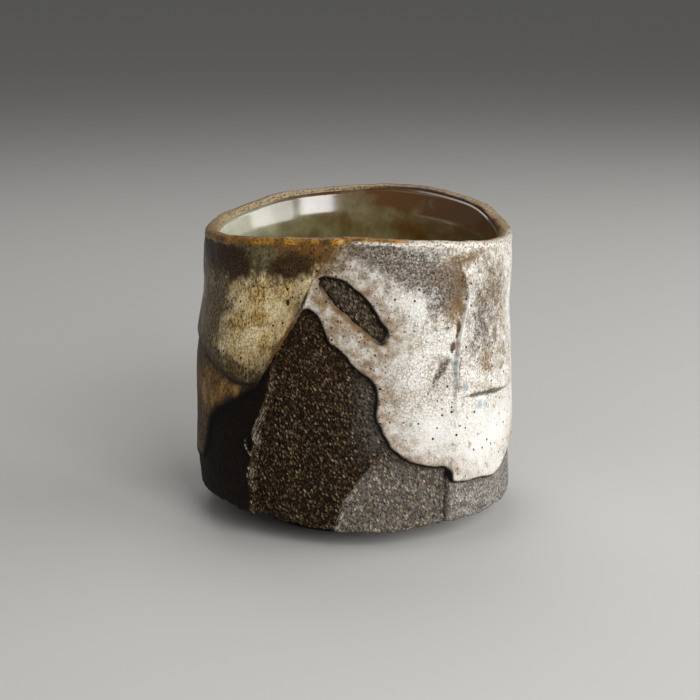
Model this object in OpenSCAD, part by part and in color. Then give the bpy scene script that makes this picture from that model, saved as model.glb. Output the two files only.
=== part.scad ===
// Guinomi, a small handmade sake cup: one carved stoneware body on a luted foot ring,
// with four coats of glaze outside and over the lip, and one inside.
// Millimetres, +Z up, standing on z = 0 with the cup's axis on Z and its front facing -Y.
// Angles run round the axis from the front, positive towards +X.

/* [Wall] */
// Height of the lip at its highest place, at the back
rim_high = 61.7; // [52:0.1:80]
// How far the lip dips at its lowest place, on the right
rim_dip = 5.1; // [0:0.1:8]
// Width of the clay across the belly
belly_width = 63.8; // [50:0.2:82]
// Axis to the front of the lower edge
base_front = 31.2; // [25:0.2:40]
// Axis to the front of the lip, where the mouth is pressed flat
lip_front = 27.4; // [22:0.2:38]
// Axis to the back of the lower edge
base_back = 30.4; // [25:0.2:40]
// Axis to the back of the lip
lip_back = 29.2; // [24:0.2:40]
// Squareness of the plan, where 2 is a plain oval
squareness = 2.25; // [2:0.05:3]
// Thickness of the clay at the lip
lip_thickness = 2.2; // [1.8:0.1:4]
// Thickness of the clay above the floor
wall_thickness = 4.4; // [3:0.1:6]
// Thickness of the clay under the inside
floor_thickness = 5; // [3:0.1:9]

/* [Carving] */
// Height of the raised edge left by the cut on the left
ridge_height = 1.1; // [0.2:0.1:2]
// Depth of the front facet beside that edge
cut_depth = 0.7; // [0:0.1:1.5]
// Height of the right panel over the front facet
crease_height = 0.8; // [0.2:0.1:2]
// Height of the coarse facet that a second cut left low in the front
facet_height = 0.5; // [0:0.05:1]
// Rise of the lower edge from the front to the left
edge_rise = 2.5; // [0:0.1:4]
// Gap from the foot's top face up to the lower edge at the front
edge_gap = 0.4; // [0.2:0.1:3]

/* [Foot] */
// Height of the foot ring
foot_height = 3.6; // [2:0.1:8]
// Outer diameter of the foot ring where it stands
foot_diameter = 41; // [30:0.5:46]
// Width of the foot ring's standing face
foot_wall = 5; // [3:0.1:9]
// Slope of the foot ring's sides, measured across
foot_draft = 0.8; // [0:0.1:2]

/* [Glaze] */
// Thickness of the white and the cream pours
pour_thickness = 0.9; // [0.4:0.05:1.5]
// Thickness of a pour at its free edge
pour_edge = 0.45; // [0.2:0.05:1.5]
// Thickness of the thin coat under the cream pour
skirt_thickness = 0.4; // [0.2:0.05:1]
// Thickness of the coat over the lip
rim_thickness = 0.45; // [0.2:0.05:1]
// Depth of the coat over the lip, outside
rim_band = 2.4; // [1.5:0.1:6]
// Thickness of the glaze inside
liner_thickness = 0.5; // [0.2:0.05:1.2]

/* [Hidden] */

// Height of the lip's rounding as a share of its thickness, and its two top points across the lip
lip_round_share = 0.4;
lip_round = lip_thickness * lip_round_share;
lip_shares = [0.28, 0.72];
// Slope of the coat where the wall turns over into the lip
shoulder_tilt = 0.7;

// The lip and the lower edge, as pairs of an angle and a share of the lip's dip and of the edge's rise
rim_line = [[-60, 0.255], [-45, 0.37], [-30, 0.49], [-15, 0.55], [0, 0.55], [15, 0.47], [30, 0.35],
            [45, 0.205], [60, 0.06], [75, 0], [90, 0.06], [106, 0.235], [121, 0.57], [134, 0.745],
            [147, 0.9], [165, 1], [180, 0.9], [200, 0.775], [215, 0.63], [230, 0.37], [247, 0.2],
            [270, 0.12], [285, 0.16], [300, 0.255], [315, 0.37], [330, 0.49]];
edge_line = [[-60, 1], [-45, 0.96], [-32, 0.82], [-21, 0.56], [-5, 0.2], [5, 0], [20, 0.14], [33, 0.45],
             [46, 0.4], [68, 0.28], [90, 0.4], [180, 0.5], [250, 0.6], [285, 0.72], [300, 1], [315, 0.96],
             [330, 0.8]];

// The two sides, as pairs of a share of the wall's height and a share of the belly's half width
left_side = [[0, 0.984], [0.1, 1], [0.31, 0.998], [0.52, 0.987], [0.64, 0.96], [0.8, 0.919], [0.96, 0.928],
             [1, 0.925]];
right_side = [[0, 0.984], [0.05, 0.981], [0.1, 0.975], [0.31, 0.97], [0.52, 0.953], [0.64, 0.947],
              [0.72, 0.94], [0.8, 0.942], [0.88, 0.948], [1, 0.959]];

// The carved lines, as pairs of a share of the wall's height and an angle
ridge_line = [[0, -36.5], [0.15, -37], [0.32, -35.8], [0.42, -32.6], [0.5, -31], [0.56, -30.4], [0.65, -27],
              [0.76, -20.5], [0.87, -16], [1, -6]];
crease_line = [[0, 31], [0.18, 32], [0.32, 34], [0.5, 34.8], [0.6, 35.9], [0.69, 37.7], [0.78, 40.4],
               [0.84, 41.8], [1, 40]];
facet_line = [[0, -7.5], [0.11, -4.7], [0.19, 0], [0.3, 9]];
// Shares of the raised edge's and of the right panel's height that are left at the lip
ridge_end = 0.4;
crease_end = 0.5;
// Angle across a carved step, where the two pours meet behind the cup, and the way once round it
step_angle = 2;
seam_angle = 200;
full_turn = 360;
// Angles over which a carved step fades into its panel, and the level at which the low facet ends
ridge_fade_angle = 16;
cut_fade_angle = 40;
crease_fade_angle = 36;
facet_rise_angle = 3;
facet_fade_angle = 30;
facet_level = 0.3;

// Edges of the glaze, as pairs of a share of a panel's width and a share of the wall's height.
// The front panel runs from ridge to crease, the right one to the seam and the left one back to the ridge.
front_lower = [[0, 0.77], [0.08, 0.75], [0.16, 0.7], [0.24, 0.66], [0.32, 0.63], [0.43, 0.575], [0.52, 0.54],
               [0.565, 0.5], [0.58, 0.41], [0.66, 0.32], [0.71, 0.285], [0.77, 0.255], [0.86, 0.225], [1, 0.195]];
right_lower = [[0, 0.16], [0.12, 0.13], [0.2, 0.19], [0.28, 0.21], [0.37, 0.175], [0.46, 0.125], [0.55, 0.145],
               [0.64, 0.195], [0.73, 0.175], [0.82, 0.13], [1, 0.175]];
left_lower = [[0, 0.175], [0.24, 0.13], [0.4, 0.158], [0.57, 0.125], [0.72, 0.135], [0.78, 0.165], [0.82, 0.31],
              [0.86, 0.38], [0.93, 0.445], [1, 0.49]];
// The middle lines: the bare window's lower edge, the right panel's level crease, the cream pour's lower edge
front_middle = [[0, 0.862], [0.045, 0.868], [0.09, 0.82], [0.18, 0.778], [0.34, 0.727], [0.49, 0.68],
                [0.57, 0.663], [1, 0.465]];
right_middle = [[0, 0.465], [0.03, 0.458], [0.17, 0.454], [0.5, 0.46], [1, 0.53]];
left_middle = [[0, 0.53], [0.19, 0.58], [0.38, 0.62], [0.53, 0.615], [0.69, 0.58], [0.8, 0.525], [0.85, 0.498],
               [0.92, 0.48], [0.96, 0.492], [1, 0.54]];
// The upper lines: the bare window's upper edge, and plain levels elsewhere
front_upper = [[0, 0.89], [0.045, 0.88], [0.14, 0.874], [0.22, 0.856], [0.29, 0.83], [0.36, 0.805],
               [0.42, 0.774], [0.53, 0.717], [0.57, 0.672], [1, 0.59]];
right_upper = [[0, 0.6], [1, 0.7]];
left_upper = [[0, 0.7], [1, 0.74]];
// The bare window's two tips, as shares of the front panel's width
window_tips = [0.04, 0.57];
// End of the groove along the level crease, as a share of the right panel's width
groove_end = 0.3;

// Columns in each panel, and the rows between one line and the next as shares of that gap
front_columns = 24;
right_columns = 27;
left_columns = 25;
columns = front_columns + right_columns + left_columns;
row_shares = [[0, 0.25, 0.5, 0.75], [0, 0.1, 0.5, 0.88], [0, 0.35, 0.65], [0, 0.12, 0.55], [0, 0.5]];
row_starts = [0, 4, 8, 11, 14, 16];
lower_row = row_starts[1];
middle_row = row_starts[2];
upper_row = row_starts[3];
band_row = row_starts[4];
top_row = row_starts[5];

// The inside: rows as shares of its depth, and the power of its rounded lower corner
inner_rows = [0.05, 0.2, 0.4, 0.6, 0.76, 0.88, 0.95, 0.985, 0.999];
inner_power = 4;
lip_row = top_row + 1;
inner_row = lip_row + 3;
last_row = inner_row + len(inner_rows) - 1;
floor_z = foot_height + floor_thickness;

function ease(u) = u * u * (3 - 2 * u);
function mix(a, b, u) = a + (b - a) * u;
function within(u) = max(0, min(1, u));

// Heights of the lip, of the wall's top and of its lower edge at an angle
function rim_z(a) = rim_high - rim_dip * (1 - lookup(a, rim_line));
function wall_top(a) = rim_z(a) - lip_round;
function edge_z(a) = foot_height + edge_gap + edge_rise * lookup(a, edge_line);
function wall_z(a, t) = mix(edge_z(a), wall_top(a), t);

// Half width on either side, and depth to the front or the back, at a share of the wall's height
function half_width(a, t) = belly_width / 2 * lookup(t, sin(a) < 0 ? left_side : right_side);
function half_depth(a, t) =
    cos(a) > 0 ? mix(base_front, lip_front, ease(t)) : mix(base_back, lip_back, ease(t));

// Radius of the smooth wall: a squared oval
function plan_radius(a, t) =
    pow(pow(abs(sin(a)) / half_width(a, t), squareness) + pow(abs(cos(a)) / half_depth(a, t), squareness),
        -1 / squareness);

// What the carving adds: the raised edge, the facet cut beside it, the low facet and the right panel's step
function fade(d, reach) = pow(within(1 - d / reach), 2);
function ridge(t) = ridge_height * mix(1, ridge_end, t);
function low_facet(a, t) =
    let (past = a - lookup(t, facet_line))
    facet_height * within(past / facet_rise_angle) * within(1 - past / facet_fade_angle)
        * within(1 - t / facet_level);
function carving(j, a, t) =
    j == 0 ? ridge(t) :
    j <= front_columns ? low_facet(a, t) - cut_depth * fade(a - lookup(t, ridge_line), cut_fade_angle) :
    j <= front_columns + right_columns ?
        crease_height * mix(1, crease_end, t) * fade(a - lookup(t, crease_line), crease_fade_angle) :
    ridge(t) * fade(full_turn + lookup(t, ridge_line) - a, ridge_fade_angle);

// Angle of a column at a share of the wall's height
function column_angle(j, t) =
    j == 0 ? lookup(t, ridge_line) :
    j <= front_columns ?
        mix(lookup(t, ridge_line) + step_angle, lookup(t, crease_line), front_share(j)) :
    j <= front_columns + right_columns ?
        mix(lookup(t, crease_line) + step_angle, seam_angle, right_share(j)) :
    mix(seam_angle, full_turn + lookup(t, ridge_line), (j - front_columns - right_columns) / left_columns);

// Share of a panel's width at a column, and the height of a line there
function front_share(j) = (j - 1) / (front_columns - 1);
function right_share(j) = (j - front_columns - 1) / (right_columns - 1);
function line_share(j, front, right, left) =
    j == 0 ? lookup(1, left) :
    j <= front_columns ? lookup(front_share(j), front) :
    j <= front_columns + right_columns ? lookup(right_share(j), right) :
    lookup((j - front_columns - right_columns) / left_columns, left);
function band_share(j) =
    let (a = column_angle(j, 1))
    1 - (rim_band - lip_round) / (wall_top(a) - edge_z(a));
function lines(j) = [0, line_share(j, front_lower, right_lower, left_lower),
    line_share(j, front_middle, right_middle, left_middle),
    line_share(j, front_upper, right_upper, left_upper), band_share(j), 1];
function column_shares(j) =
    let (marks = lines(j))
    concat([for (k = [0 : len(row_shares) - 1]) for (u = row_shares[k]) mix(marks[k], marks[k + 1], u)], [1]);

// A point at an angle, a radius and a height
function polar(a, r, z) = [r * sin(a), -r * cos(a), z];

// Points of the clay from its lower edge up the outside, over the lip and down the inside
function outer_point(j, t) =
    let (a = column_angle(j, t))
    polar(a, plan_radius(a, t) + carving(j, a, t), wall_z(a, t));
function lip_point(j, share, drop) =
    let (a = column_angle(j, 1))
    polar(a, plan_radius(a, 1) + carving(j, a, 1) * (1 - share) - lip_thickness * share, rim_z(a) - drop);
function inner_span(h) = pow(1 - pow(h, inner_power), 1 / inner_power);
function inner_point(j, h) =
    let (a = column_angle(j, 1),
         z = mix(wall_top(a), floor_z, h),
         t = within((z - edge_z(a)) / (wall_top(a) - edge_z(a))))
    polar(a, (plan_radius(a, t) - mix(wall_thickness, lip_thickness, t)) * inner_span(h), z);
function clay_column(j) = concat(
    [for (t = column_shares(j)) outer_point(j, t)],
    [for (share = lip_shares) lip_point(j, share, 0)],
    [lip_point(j, 1, lip_round)],
    [for (h = inner_rows) inner_point(j, h)]);
clay = [for (j = [0 : columns - 1]) clay_column(j)];

// The way out of the clay at each row: level outside, up over the lip, then in and up to the floor
function row_tilt(i) =
    i < top_row ? [1, 0] :
    i == top_row ? [1, shoulder_tilt] :
    i < inner_row - 1 ? [0, 1] :
    i == inner_row - 1 ? [-1, shoulder_tilt] :
    let (h = inner_rows[i - inner_row])
    [-pow(inner_span(h), inner_power - 1), pow(h, inner_power - 1)];
function unit(v) = v / norm(v);
function way_out(j, i) =
    let (p = clay[j][i], side = unit([p.x, p.y, 0]), tilt = unit(row_tilt(i)))
    tilt.x * side + [0, 0, tilt.y];

// Rows of two neighbouring columns joined by triangles in order of height
function strip(a, b, za, zb, i, k) =
    let (more_a = i < len(za) - 1, more_b = k < len(zb) - 1)
    !more_a && !more_b ? [] :
    more_a && (!more_b || za[i + 1] <= zb[k + 1]) ?
        concat([[a + i, a + i + 1, b + k]], strip(a, b, za, zb, i + 1, k)) :
    concat([[a + i, b + k + 1, b + k]], strip(a, b, za, zb, i, k + 1));

// A triangle pair between two rows and two columns, seen from outside
function cell(a, b) = [[a, a + 1, b + 1], [a, b + 1, b]];
function turned(faces) = [for (f = faces) [f[2], f[1], f[0]]];
function next(j) = (j + 1) % columns;

// A coat of glaze on the cells that covers() names, from the clay out to the given thickness
module coat(covers, thickness) {
    rows = last_row + 1;
    outside = [for (j = [0 : columns - 1]) for (i = [0 : last_row])
        clay[j][i] + thickness(j, i) * way_out(j, i)];
    inside = [for (j = [0 : columns - 1]) for (i = [0 : last_row]) clay[j][i]];
    under = columns * rows;
    cells = [for (j = [0 : columns - 1]) for (i = [0 : last_row - 1]) if (covers(j, i)) [j, i]];
    skins = [for (c = cells)
        let (a = c[0] * rows + c[1], b = next(c[0]) * rows + c[1])
        each concat(cell(a, b), turned(cell(a + under, b + under)))];
    edges = [for (c = cells)
        let (j = c[0], i = c[1], a = j * rows + i, b = next(j) * rows + i)
        each concat(
            covers(j, i - 1) ? [] : [[a, b]],
            covers(j, i + 1) ? [] : [[b + 1, a + 1]],
            covers((j + columns - 1) % columns, i) ? [] : [[a + 1, a]],
            covers(next(j), i) ? [] : [[b, b + 1]])];
    walls = [for (e = edges)
        each [[e[0], e[1], e[1] + under], [e[0], e[1] + under, e[0] + under]]];
    polyhedron(points = concat(outside, inside), faces = concat(skins, walls), convexity = 6);
}

// Which cells each panel holds; column 0 to 1 is the carved step itself and stays bare
function on_front(j) = j >= 1 && j < front_columns;
function on_right(j) = j >= front_columns && j < front_columns + right_columns;
function on_left(j) = j >= front_columns + right_columns;
function in_window(j, i) = on_front(j) && i >= middle_row && i < upper_row
    && front_share(j) >= window_tips[0] && front_share(j + 1) <= window_tips[1];
function on_window_edge(j, i) = i >= middle_row && i <= upper_row && j >= 1 && j <= front_columns
    && front_share(j) >= window_tips[0] && front_share(j) <= window_tips[1];
function on_groove(j, i) =
    i == middle_row && on_right(j) && j > front_columns && right_share(j) <= groove_end;
function at_white_edge(j, i) = i == lower_row || j == 1 || on_window_edge(j, i);

module clay_body() {
    rows = last_row + 1;
    flat = [for (j = [0 : columns - 1])
        polar(column_angle(j, 0), foot_diameter / 2 + foot_draft, foot_height)];
    points = concat([for (column = clay) each column], flat, [[0, 0, foot_height], [0, 0, floor_z]]);
    flat_start = columns * rows;
    foot_centre = flat_start + columns;
    floor_centre = foot_centre + 1;
    shares = [for (j = [0, 1]) [for (i = [0 : band_row]) column_shares(j)[i]]];
    walls = [for (j = [0 : columns - 1]) for (i = [0 : last_row - 1])
        if (j > 0 || i >= band_row) each cell(j * rows + i, next(j) * rows + i)];
    ends = [for (j = [0 : columns - 1])
        let (a = j * rows, b = next(j) * rows, c = flat_start + j, d = flat_start + next(j))
        each [[c, a, b], [c, b, d], [foot_centre, c, d], [a + last_row, floor_centre, b + last_row]]];
    color("#463a31")
        polyhedron(points = points, faces = concat(walls, ends, strip(0, rows, shares[0], shares[1], 0, 0)),
            convexity = 6);
}

module foot_ring() {
    stand = foot_diameter / 2;
    color("#3d332b")
        rotate_extrude($fn = 96)
            polygon([[stand - foot_wall, 0], [stand, 0], [stand + foot_draft, foot_height],
                [stand - foot_wall - foot_draft, foot_height]]);
}

module left_glaze() {
    color("#cdb98d")
        coat(function(j, i) on_left(j) && i >= middle_row && i < band_row,
            function(j, i) i == middle_row || j == 0 ? pour_edge : pour_thickness);
}

module right_glaze() {
    color("#e9e2d6")
        coat(function(j, i) (on_front(j) || on_right(j)) && i >= lower_row && i < band_row
                && !in_window(j, i),
            function(j, i) at_white_edge(j, i) || on_groove(j, i) ? pour_edge : pour_thickness);
}

module skirt_glaze() {
    color("#a58d6b")
        coat(function(j, i) on_left(j) && i >= lower_row && i < middle_row,
            function(j, i) skirt_thickness);
}

module rim_glaze() {
    color("#7d5a2f")
        coat(function(j, i) i >= band_row && i < inner_row,
            function(j, i) rim_thickness);
}

module liner_glaze() {
    rows = len(inner_rows);
    inside = [for (j = [0 : columns - 1]) for (i = [inner_row : last_row])
        clay[j][i] + liner_thickness * way_out(j, i)];
    under = columns * rows;
    points = concat(inside, [for (j = [0 : columns - 1]) for (i = [inner_row : last_row]) clay[j][i]],
        [[0, 0, floor_z + liner_thickness], [0, 0, floor_z]]);
    pool_centre = 2 * under;
    floor_centre = pool_centre + 1;
    skins = [for (j = [0 : columns - 1]) for (i = [0 : rows - 2])
        let (a = j * rows + i, b = next(j) * rows + i)
        each concat(cell(a, b), turned(cell(a + under, b + under)))];
    ends = [for (j = [0 : columns - 1])
        let (a = j * rows, b = next(j) * rows, c = a + rows - 1, d = b + rows - 1)
        each [[a, b, b + under], [a, b + under, a + under],
              [c, pool_centre, d], [d + under, floor_centre, c + under]]];
    color("#8d8b6a")
        polyhedron(points = points, faces = concat(skins, ends), convexity = 6);
}

clay_body();
foot_ring();
left_glaze();
right_glaze();
skirt_glaze();
rim_glaze();
liner_glaze();
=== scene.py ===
# %% [markdown]
# # A guinomi, a small handmade sake cup
# The cup is one lump of coarse dark clay, hollowed and cut with a wire, standing on a low foot ring. Thick
# white and cream glaze was poured over it, and a window and the whole lower front were left bare. The
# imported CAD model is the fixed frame. Each piece below is a finer surface of the same form, worked out with
# numpy in millimetres and stored in metres, and it stands for the CAD solid in the same place.

# %% Load the frame
import itertools
import math

import bpy
import numpy as np
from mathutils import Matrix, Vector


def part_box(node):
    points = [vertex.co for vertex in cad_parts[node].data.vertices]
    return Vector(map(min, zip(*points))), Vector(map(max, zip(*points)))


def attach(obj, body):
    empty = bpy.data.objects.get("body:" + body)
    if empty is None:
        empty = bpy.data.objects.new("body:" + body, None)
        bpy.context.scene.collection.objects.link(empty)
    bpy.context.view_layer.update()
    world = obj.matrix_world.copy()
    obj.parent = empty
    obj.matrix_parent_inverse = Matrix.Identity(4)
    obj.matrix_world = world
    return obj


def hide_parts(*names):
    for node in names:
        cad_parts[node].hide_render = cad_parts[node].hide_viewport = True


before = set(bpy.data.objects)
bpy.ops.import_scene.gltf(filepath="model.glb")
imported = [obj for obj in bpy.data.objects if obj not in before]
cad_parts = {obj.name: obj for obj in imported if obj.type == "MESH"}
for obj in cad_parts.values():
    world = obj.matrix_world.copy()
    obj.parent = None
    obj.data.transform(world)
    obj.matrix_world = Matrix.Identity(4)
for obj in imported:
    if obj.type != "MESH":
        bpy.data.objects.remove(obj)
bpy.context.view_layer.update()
MM = 0.001

# %% [markdown]
# ## The camera
# A camera needs a place, an aim and a focal length. The lip and the lower edge of the cup are ovals of
# different openness. Their mean gives the angle, from a little above, and their difference gives the
# distance, about five cup widths. The focal length in pixels then follows from the width of the cup in the
# image.

# %% Camera
IMAGE_PIXELS = 700
FOCAL_PIXELS = 1600
SENSOR_WIDTH = 36.0
AIM = np.array([-1.1, 0.0, 31.8]) * MM
CAMERA_DISTANCE = 325 * MM
CAMERA_ELEVATION = math.radians(14)
NEAREST_SEEN = 10 * MM

camera_data = bpy.data.cameras.new("photo_camera")
camera_data.sensor_width = SENSOR_WIDTH
camera_data.lens = SENSOR_WIDTH * FOCAL_PIXELS / IMAGE_PIXELS
camera_data.clip_start = NEAREST_SEEN
camera = bpy.data.objects.new("photo_camera", camera_data)
bpy.context.collection.objects.link(camera)
camera_back = np.array([0.0, -math.cos(CAMERA_ELEVATION), math.sin(CAMERA_ELEVATION)])
camera.location = AIM + CAMERA_DISTANCE * camera_back
camera.rotation_euler = (math.pi / 2 - CAMERA_ELEVATION, 0, 0)
bpy.context.scene.camera = camera
print("lens", round(camera_data.lens, 1), "mm at", np.round(np.array(camera.location) / MM, 1), "mm")

# %% [markdown]
# ## Helpers for finishes
# Colours are easiest to choose as the hex values of a paint chart, but shaders add light in linear values,
# so one function turns one into the other. Another adds a shader node with its settings and links, and a
# third lays colours over one another like coats of paint. They keep every finish below readable from top to
# bottom.

# %% Colour and node helpers
def linear(hex_colour):
    """The linear colour of an sRGB hex value: the standard curve on each of its three bytes."""
    srgb = np.array([int(hex_colour[i:i + 2], 16) for i in (1, 3, 5)]) / 255
    values = np.where(srgb <= 0.04045, srgb / 12.92, ((srgb + 0.055) / 1.055) ** 2.4)
    return (*values.tolist(), 1.0)


def plug(tree, node, inputs):
    """Fills the inputs of a node: a socket is linked to its input, and a value is written on it."""
    for name, value in inputs.items():
        if isinstance(value, bpy.types.NodeSocket):
            tree.links.new(value, node.inputs[name])
        else:
            node.inputs[name].default_value = value


def add(tree, kind, inputs=None, out=0, **settings):
    """Adds one shader node with its settings and inputs, and gives the output that is wanted."""
    node = tree.nodes.new("ShaderNode" + kind)
    for name, value in settings.items():
        setattr(node, name, value)
    plug(tree, node, inputs or {})
    return node.outputs[out]


def paint(tree, base, layers):
    """Colours laid one over another: each layer is a share and a hex colour, mixed over what lies below."""
    colour = linear(base)
    for share_socket, tint in layers:
        colour = add(tree, "Mix", {0: share_socket, 6: colour, 7: linear(tint)}, out=2, data_type="RGBA")
    return colour


def per_metre(size):
    """The scale of a pattern: how many of its cells, of a size in millimetres, lie in a metre."""
    return 1 / (size * MM)


def new_material(name):
    """An empty material with its shader, and the place on the piece in metres."""
    material = bpy.data.materials.new(name)
    material.use_nodes = True
    tree = material.node_tree
    return material, tree, tree.nodes["Principled BSDF"], add(tree, "TexCoord", out="Object")


print("linear middle grey", round(linear("#808080")[0], 3))

# %% [markdown]
# ## Meshes from arrays
# Every piece is made of grids of points round the cup. Blender's own tools could turn or extrude a
# profile, but an uneven, carved cup isn't turned, so each point is worked out. One helper numbers the quads
# between neighbouring rings, and the other writes points and faces into a mesh in one go.

# %% Mesh helpers
def ring_faces(rows, columns, closed=False):
    """Quads between rings: the last column joins the first, and where closed the last row does too."""
    row, column = np.meshgrid(np.arange(rows if closed else rows - 1), np.arange(columns), indexing="ij")
    next_row = (row + 1) % rows
    next_column = (column + 1) % columns
    corners = [(row, column), (row, next_column), (next_row, next_column), (next_row, column)]
    return np.stack([r * columns + c for r, c in corners], -1).reshape(-1, 4)


def build_mesh(name, points, faces):
    """A smooth mesh from points in millimetres and index arrays, one array for each number of corners."""
    mesh = bpy.data.meshes.new(name)
    places = (points.reshape(-1, 3) * MM).astype(np.float32)
    corners = np.concatenate([part.ravel() for part in faces]).astype(np.int32)
    sizes = np.concatenate([np.full(len(part), part.shape[1]) for part in faces])
    mesh.vertices.add(len(places))
    mesh.vertices.foreach_set("co", places.ravel())
    mesh.loops.add(len(corners))
    mesh.loops.foreach_set("vertex_index", corners)
    mesh.polygons.add(len(sizes))
    mesh.polygons.foreach_set("loop_start", (np.cumsum(sizes) - sizes).astype(np.int32))
    mesh.update(calc_edges=True)
    mesh.validate()
    mesh.shade_smooth()
    return mesh


print("quads of a small torus:", len(ring_faces(3, 4, closed=True)))

# %% [markdown]
# ## The floor
# The stage is a sheet of pale matt paper, which takes the cup's shadow and leaves its colours as they are.
# A plane would end in four corners, so it is a wide disc of rings that get larger outwards.

# %% Floor
FLOOR_RADIUS = 6.0
FLOOR_MIDDLE = 0.02
FLOOR_NEAR = 0.1
FLOOR_RINGS = 12
FLOOR_SIDES = 64
floor_rings = np.concatenate([[FLOOR_MIDDLE], np.geomspace(FLOOR_NEAR, FLOOR_RADIUS, FLOOR_RINGS)]) / MM
floor_turns = np.linspace(0, 2 * np.pi, FLOOR_SIDES, endpoint=False)
floor_points = np.stack([np.outer(floor_rings, np.cos(floor_turns)),
                         np.outer(floor_rings, np.sin(floor_turns)),
                         np.zeros((len(floor_rings), FLOOR_SIDES))], -1)
floor_faces = ring_faces(len(floor_rings), FLOOR_SIDES)[:, ::-1]
floor_middle = np.arange(FLOOR_SIDES).reshape(1, -1)
floor_mesh = build_mesh("floor", floor_points, [floor_faces, floor_middle])
# Paper scatters light evenly, so it is rough and nearly white
floor_material, tree, shader, _ = new_material("pale_matt_paper")
plug(tree, shader, {"Base Color": linear("#d9d7d3"), "Roughness": 0.9})
floor_mesh.materials.append(floor_material)
floor = bpy.data.objects.new("floor", floor_mesh)
bpy.context.collection.objects.link(floor)
print("floor of", len(floor_mesh.polygons), "faces")

# %% [markdown]
# ## The light
# Gloss and grit show only under light from the side. A wide lamp on the right stands for a window and rakes
# over the bare clay, a key lamp lights the front from the right, a weak one fills in the left, and one
# above and behind draws the lip. They are area lamps, because those cast soft shadows and show as shapes in
# the gloss.

# %% Lamps and sky
SKY_STRENGTH = 0.16
LAMPS = {
    "window_right": ((510, -60, 165), (760, 290), 2.6),
    "key_right": ((230, -500, 320), (300, 300), 2.0),
    "fill_left": ((-380, -380, 560), (400, 400), 0.3),
    "back_top": ((-60, 300, 520), (300, 300), 0.6),
}
for lamp_name, (lamp_place, lamp_size, lamp_power) in LAMPS.items():
    lamp_data = bpy.data.lights.new(lamp_name, "AREA")
    lamp_data.shape = "RECTANGLE"
    lamp_data.size = lamp_size[0] * MM
    lamp_data.size_y = lamp_size[1] * MM
    lamp_data.energy = lamp_power
    lamp = bpy.data.objects.new(lamp_name, lamp_data)
    bpy.context.collection.objects.link(lamp)
    lamp.location = np.array(lamp_place) * MM
    lamp.rotation_euler = lamp.location.to_track_quat("Z", "Y").to_euler()
world = bpy.data.worlds.new("studio")
bpy.context.scene.world = world
world.use_nodes = True
sky = world.node_tree.nodes["Background"]
plug(world.node_tree, sky, {"Color": linear("#e4e4e4"), "Strength": SKY_STRENGTH})
bpy.context.scene.view_settings.view_transform = "Standard"
print("lamps:", ", ".join(LAMPS))

# %% [markdown]
# ## The sizes of the wall
# A pressed cup is nearly a turned one: its plan is an oval that is a little square, flatter in front at the
# lip, and its side has a belly, a waist and a flared lip. The lip dips on the left and the right, and the
# lower edge lifts on the left. Each of these lines is a few points with a smooth curve through them.

# %% Sizes of the wall
_, foot_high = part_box("foot_ring")
clay_low, clay_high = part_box("clay_body")
FOOT_HEIGHT = foot_high[2] / MM
FOOT_RADIUS = foot_high[0] / MM
BASE_FRONT = -clay_low[1] / MM
BASE_BACK = clay_high[1] / MM
LIP_FRONT = 27.4
LIP_BACK = 29.2
BELLY_HALF = 31.9
SQUARENESS = 2.25
RIM_HIGH = 61.7
RIM_DIP = 5.1
EDGE_GAP = 0.4
EDGE_RISE = 2.5
LIP_THICKNESS = 2.2
WALL_THICKNESS = 4.4
FLOOR_THICKNESS = 5.0
LIP_ROUND = 0.4 * LIP_THICKNESS
FLOOR_HEIGHT = FOOT_HEIGHT + FLOOR_THICKNESS
INSIDE_HEIGHT = RIM_HIGH - FLOOR_HEIGHT
MM_PER_DEGREE = math.radians(1) * BELLY_HALF
SEAM_ANGLE = 200.0
# Angle from the front in degrees, and the share of the way up from the lowest point to the highest
RIM_LINE = [(-180, 0.9), (-160, 0.775), (-145, 0.63), (-130, 0.37), (-113, 0.2), (-90, 0.12), (-75, 0.16),
            (-60, 0.255), (-45, 0.37), (-30, 0.49), (-15, 0.55), (0, 0.55), (15, 0.47), (30, 0.35),
            (45, 0.205), (60, 0.06), (75, 0), (90, 0.06), (106, 0.235), (121, 0.57), (134, 0.745),
            (147, 0.9), (165, 1)]
EDGE_LINE = [(-180, 0.5), (-110, 0.6), (-75, 0.72), (-60, 1), (-45, 0.96), (-32, 0.82), (-21, 0.56),
             (-5, 0.2), (5, 0), (20, 0.14), (33, 0.45), (46, 0.4), (68, 0.28), (90, 0.4), (135, 0.45)]
# Share of the wall's height, and the share of the belly's half width
LEFT_SIDE = [(0, 0.984), (0.1, 1), (0.31, 0.998), (0.52, 0.987), (0.64, 0.96), (0.8, 0.919), (0.96, 0.928),
             (1, 0.925)]
RIGHT_SIDE = [(0, 0.984), (0.05, 0.981), (0.1, 0.975), (0.31, 0.97), (0.52, 0.953), (0.64, 0.947),
              (0.72, 0.94), (0.8, 0.942), (0.88, 0.948), (1, 0.959)]
print("foot", round(FOOT_HEIGHT, 2), "mm high, clay", round(BASE_FRONT, 2), "mm to the front")

# %% [markdown]
# ## Smooth steps and curves
# Handmade forms have no sudden changes, so everything below is put together from a few soft shapes: a step,
# a bell and a curve through points. They are written once, for whole arrays.

# %% Soft shapes
def smooth(u):
    """A smooth step from 0 to 1: three squares less two cubes."""
    u = np.clip(u, 0, 1)
    return u * u * (3 - 2 * u)


def rise(value, start, end):
    """A smooth step in a value, from 0 at the start to 1 at the end, which may lie below the start."""
    return smooth((value - start) / (end - start))


def bell(value, middle, width):
    """A soft hump: one at the middle, falling with the square of the distance in widths."""
    return np.exp(-((value - middle) / width) ** 2)


def mix(a, b, u):
    """The value a share u of the way from a to b."""
    return a + (b - a) * u


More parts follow.
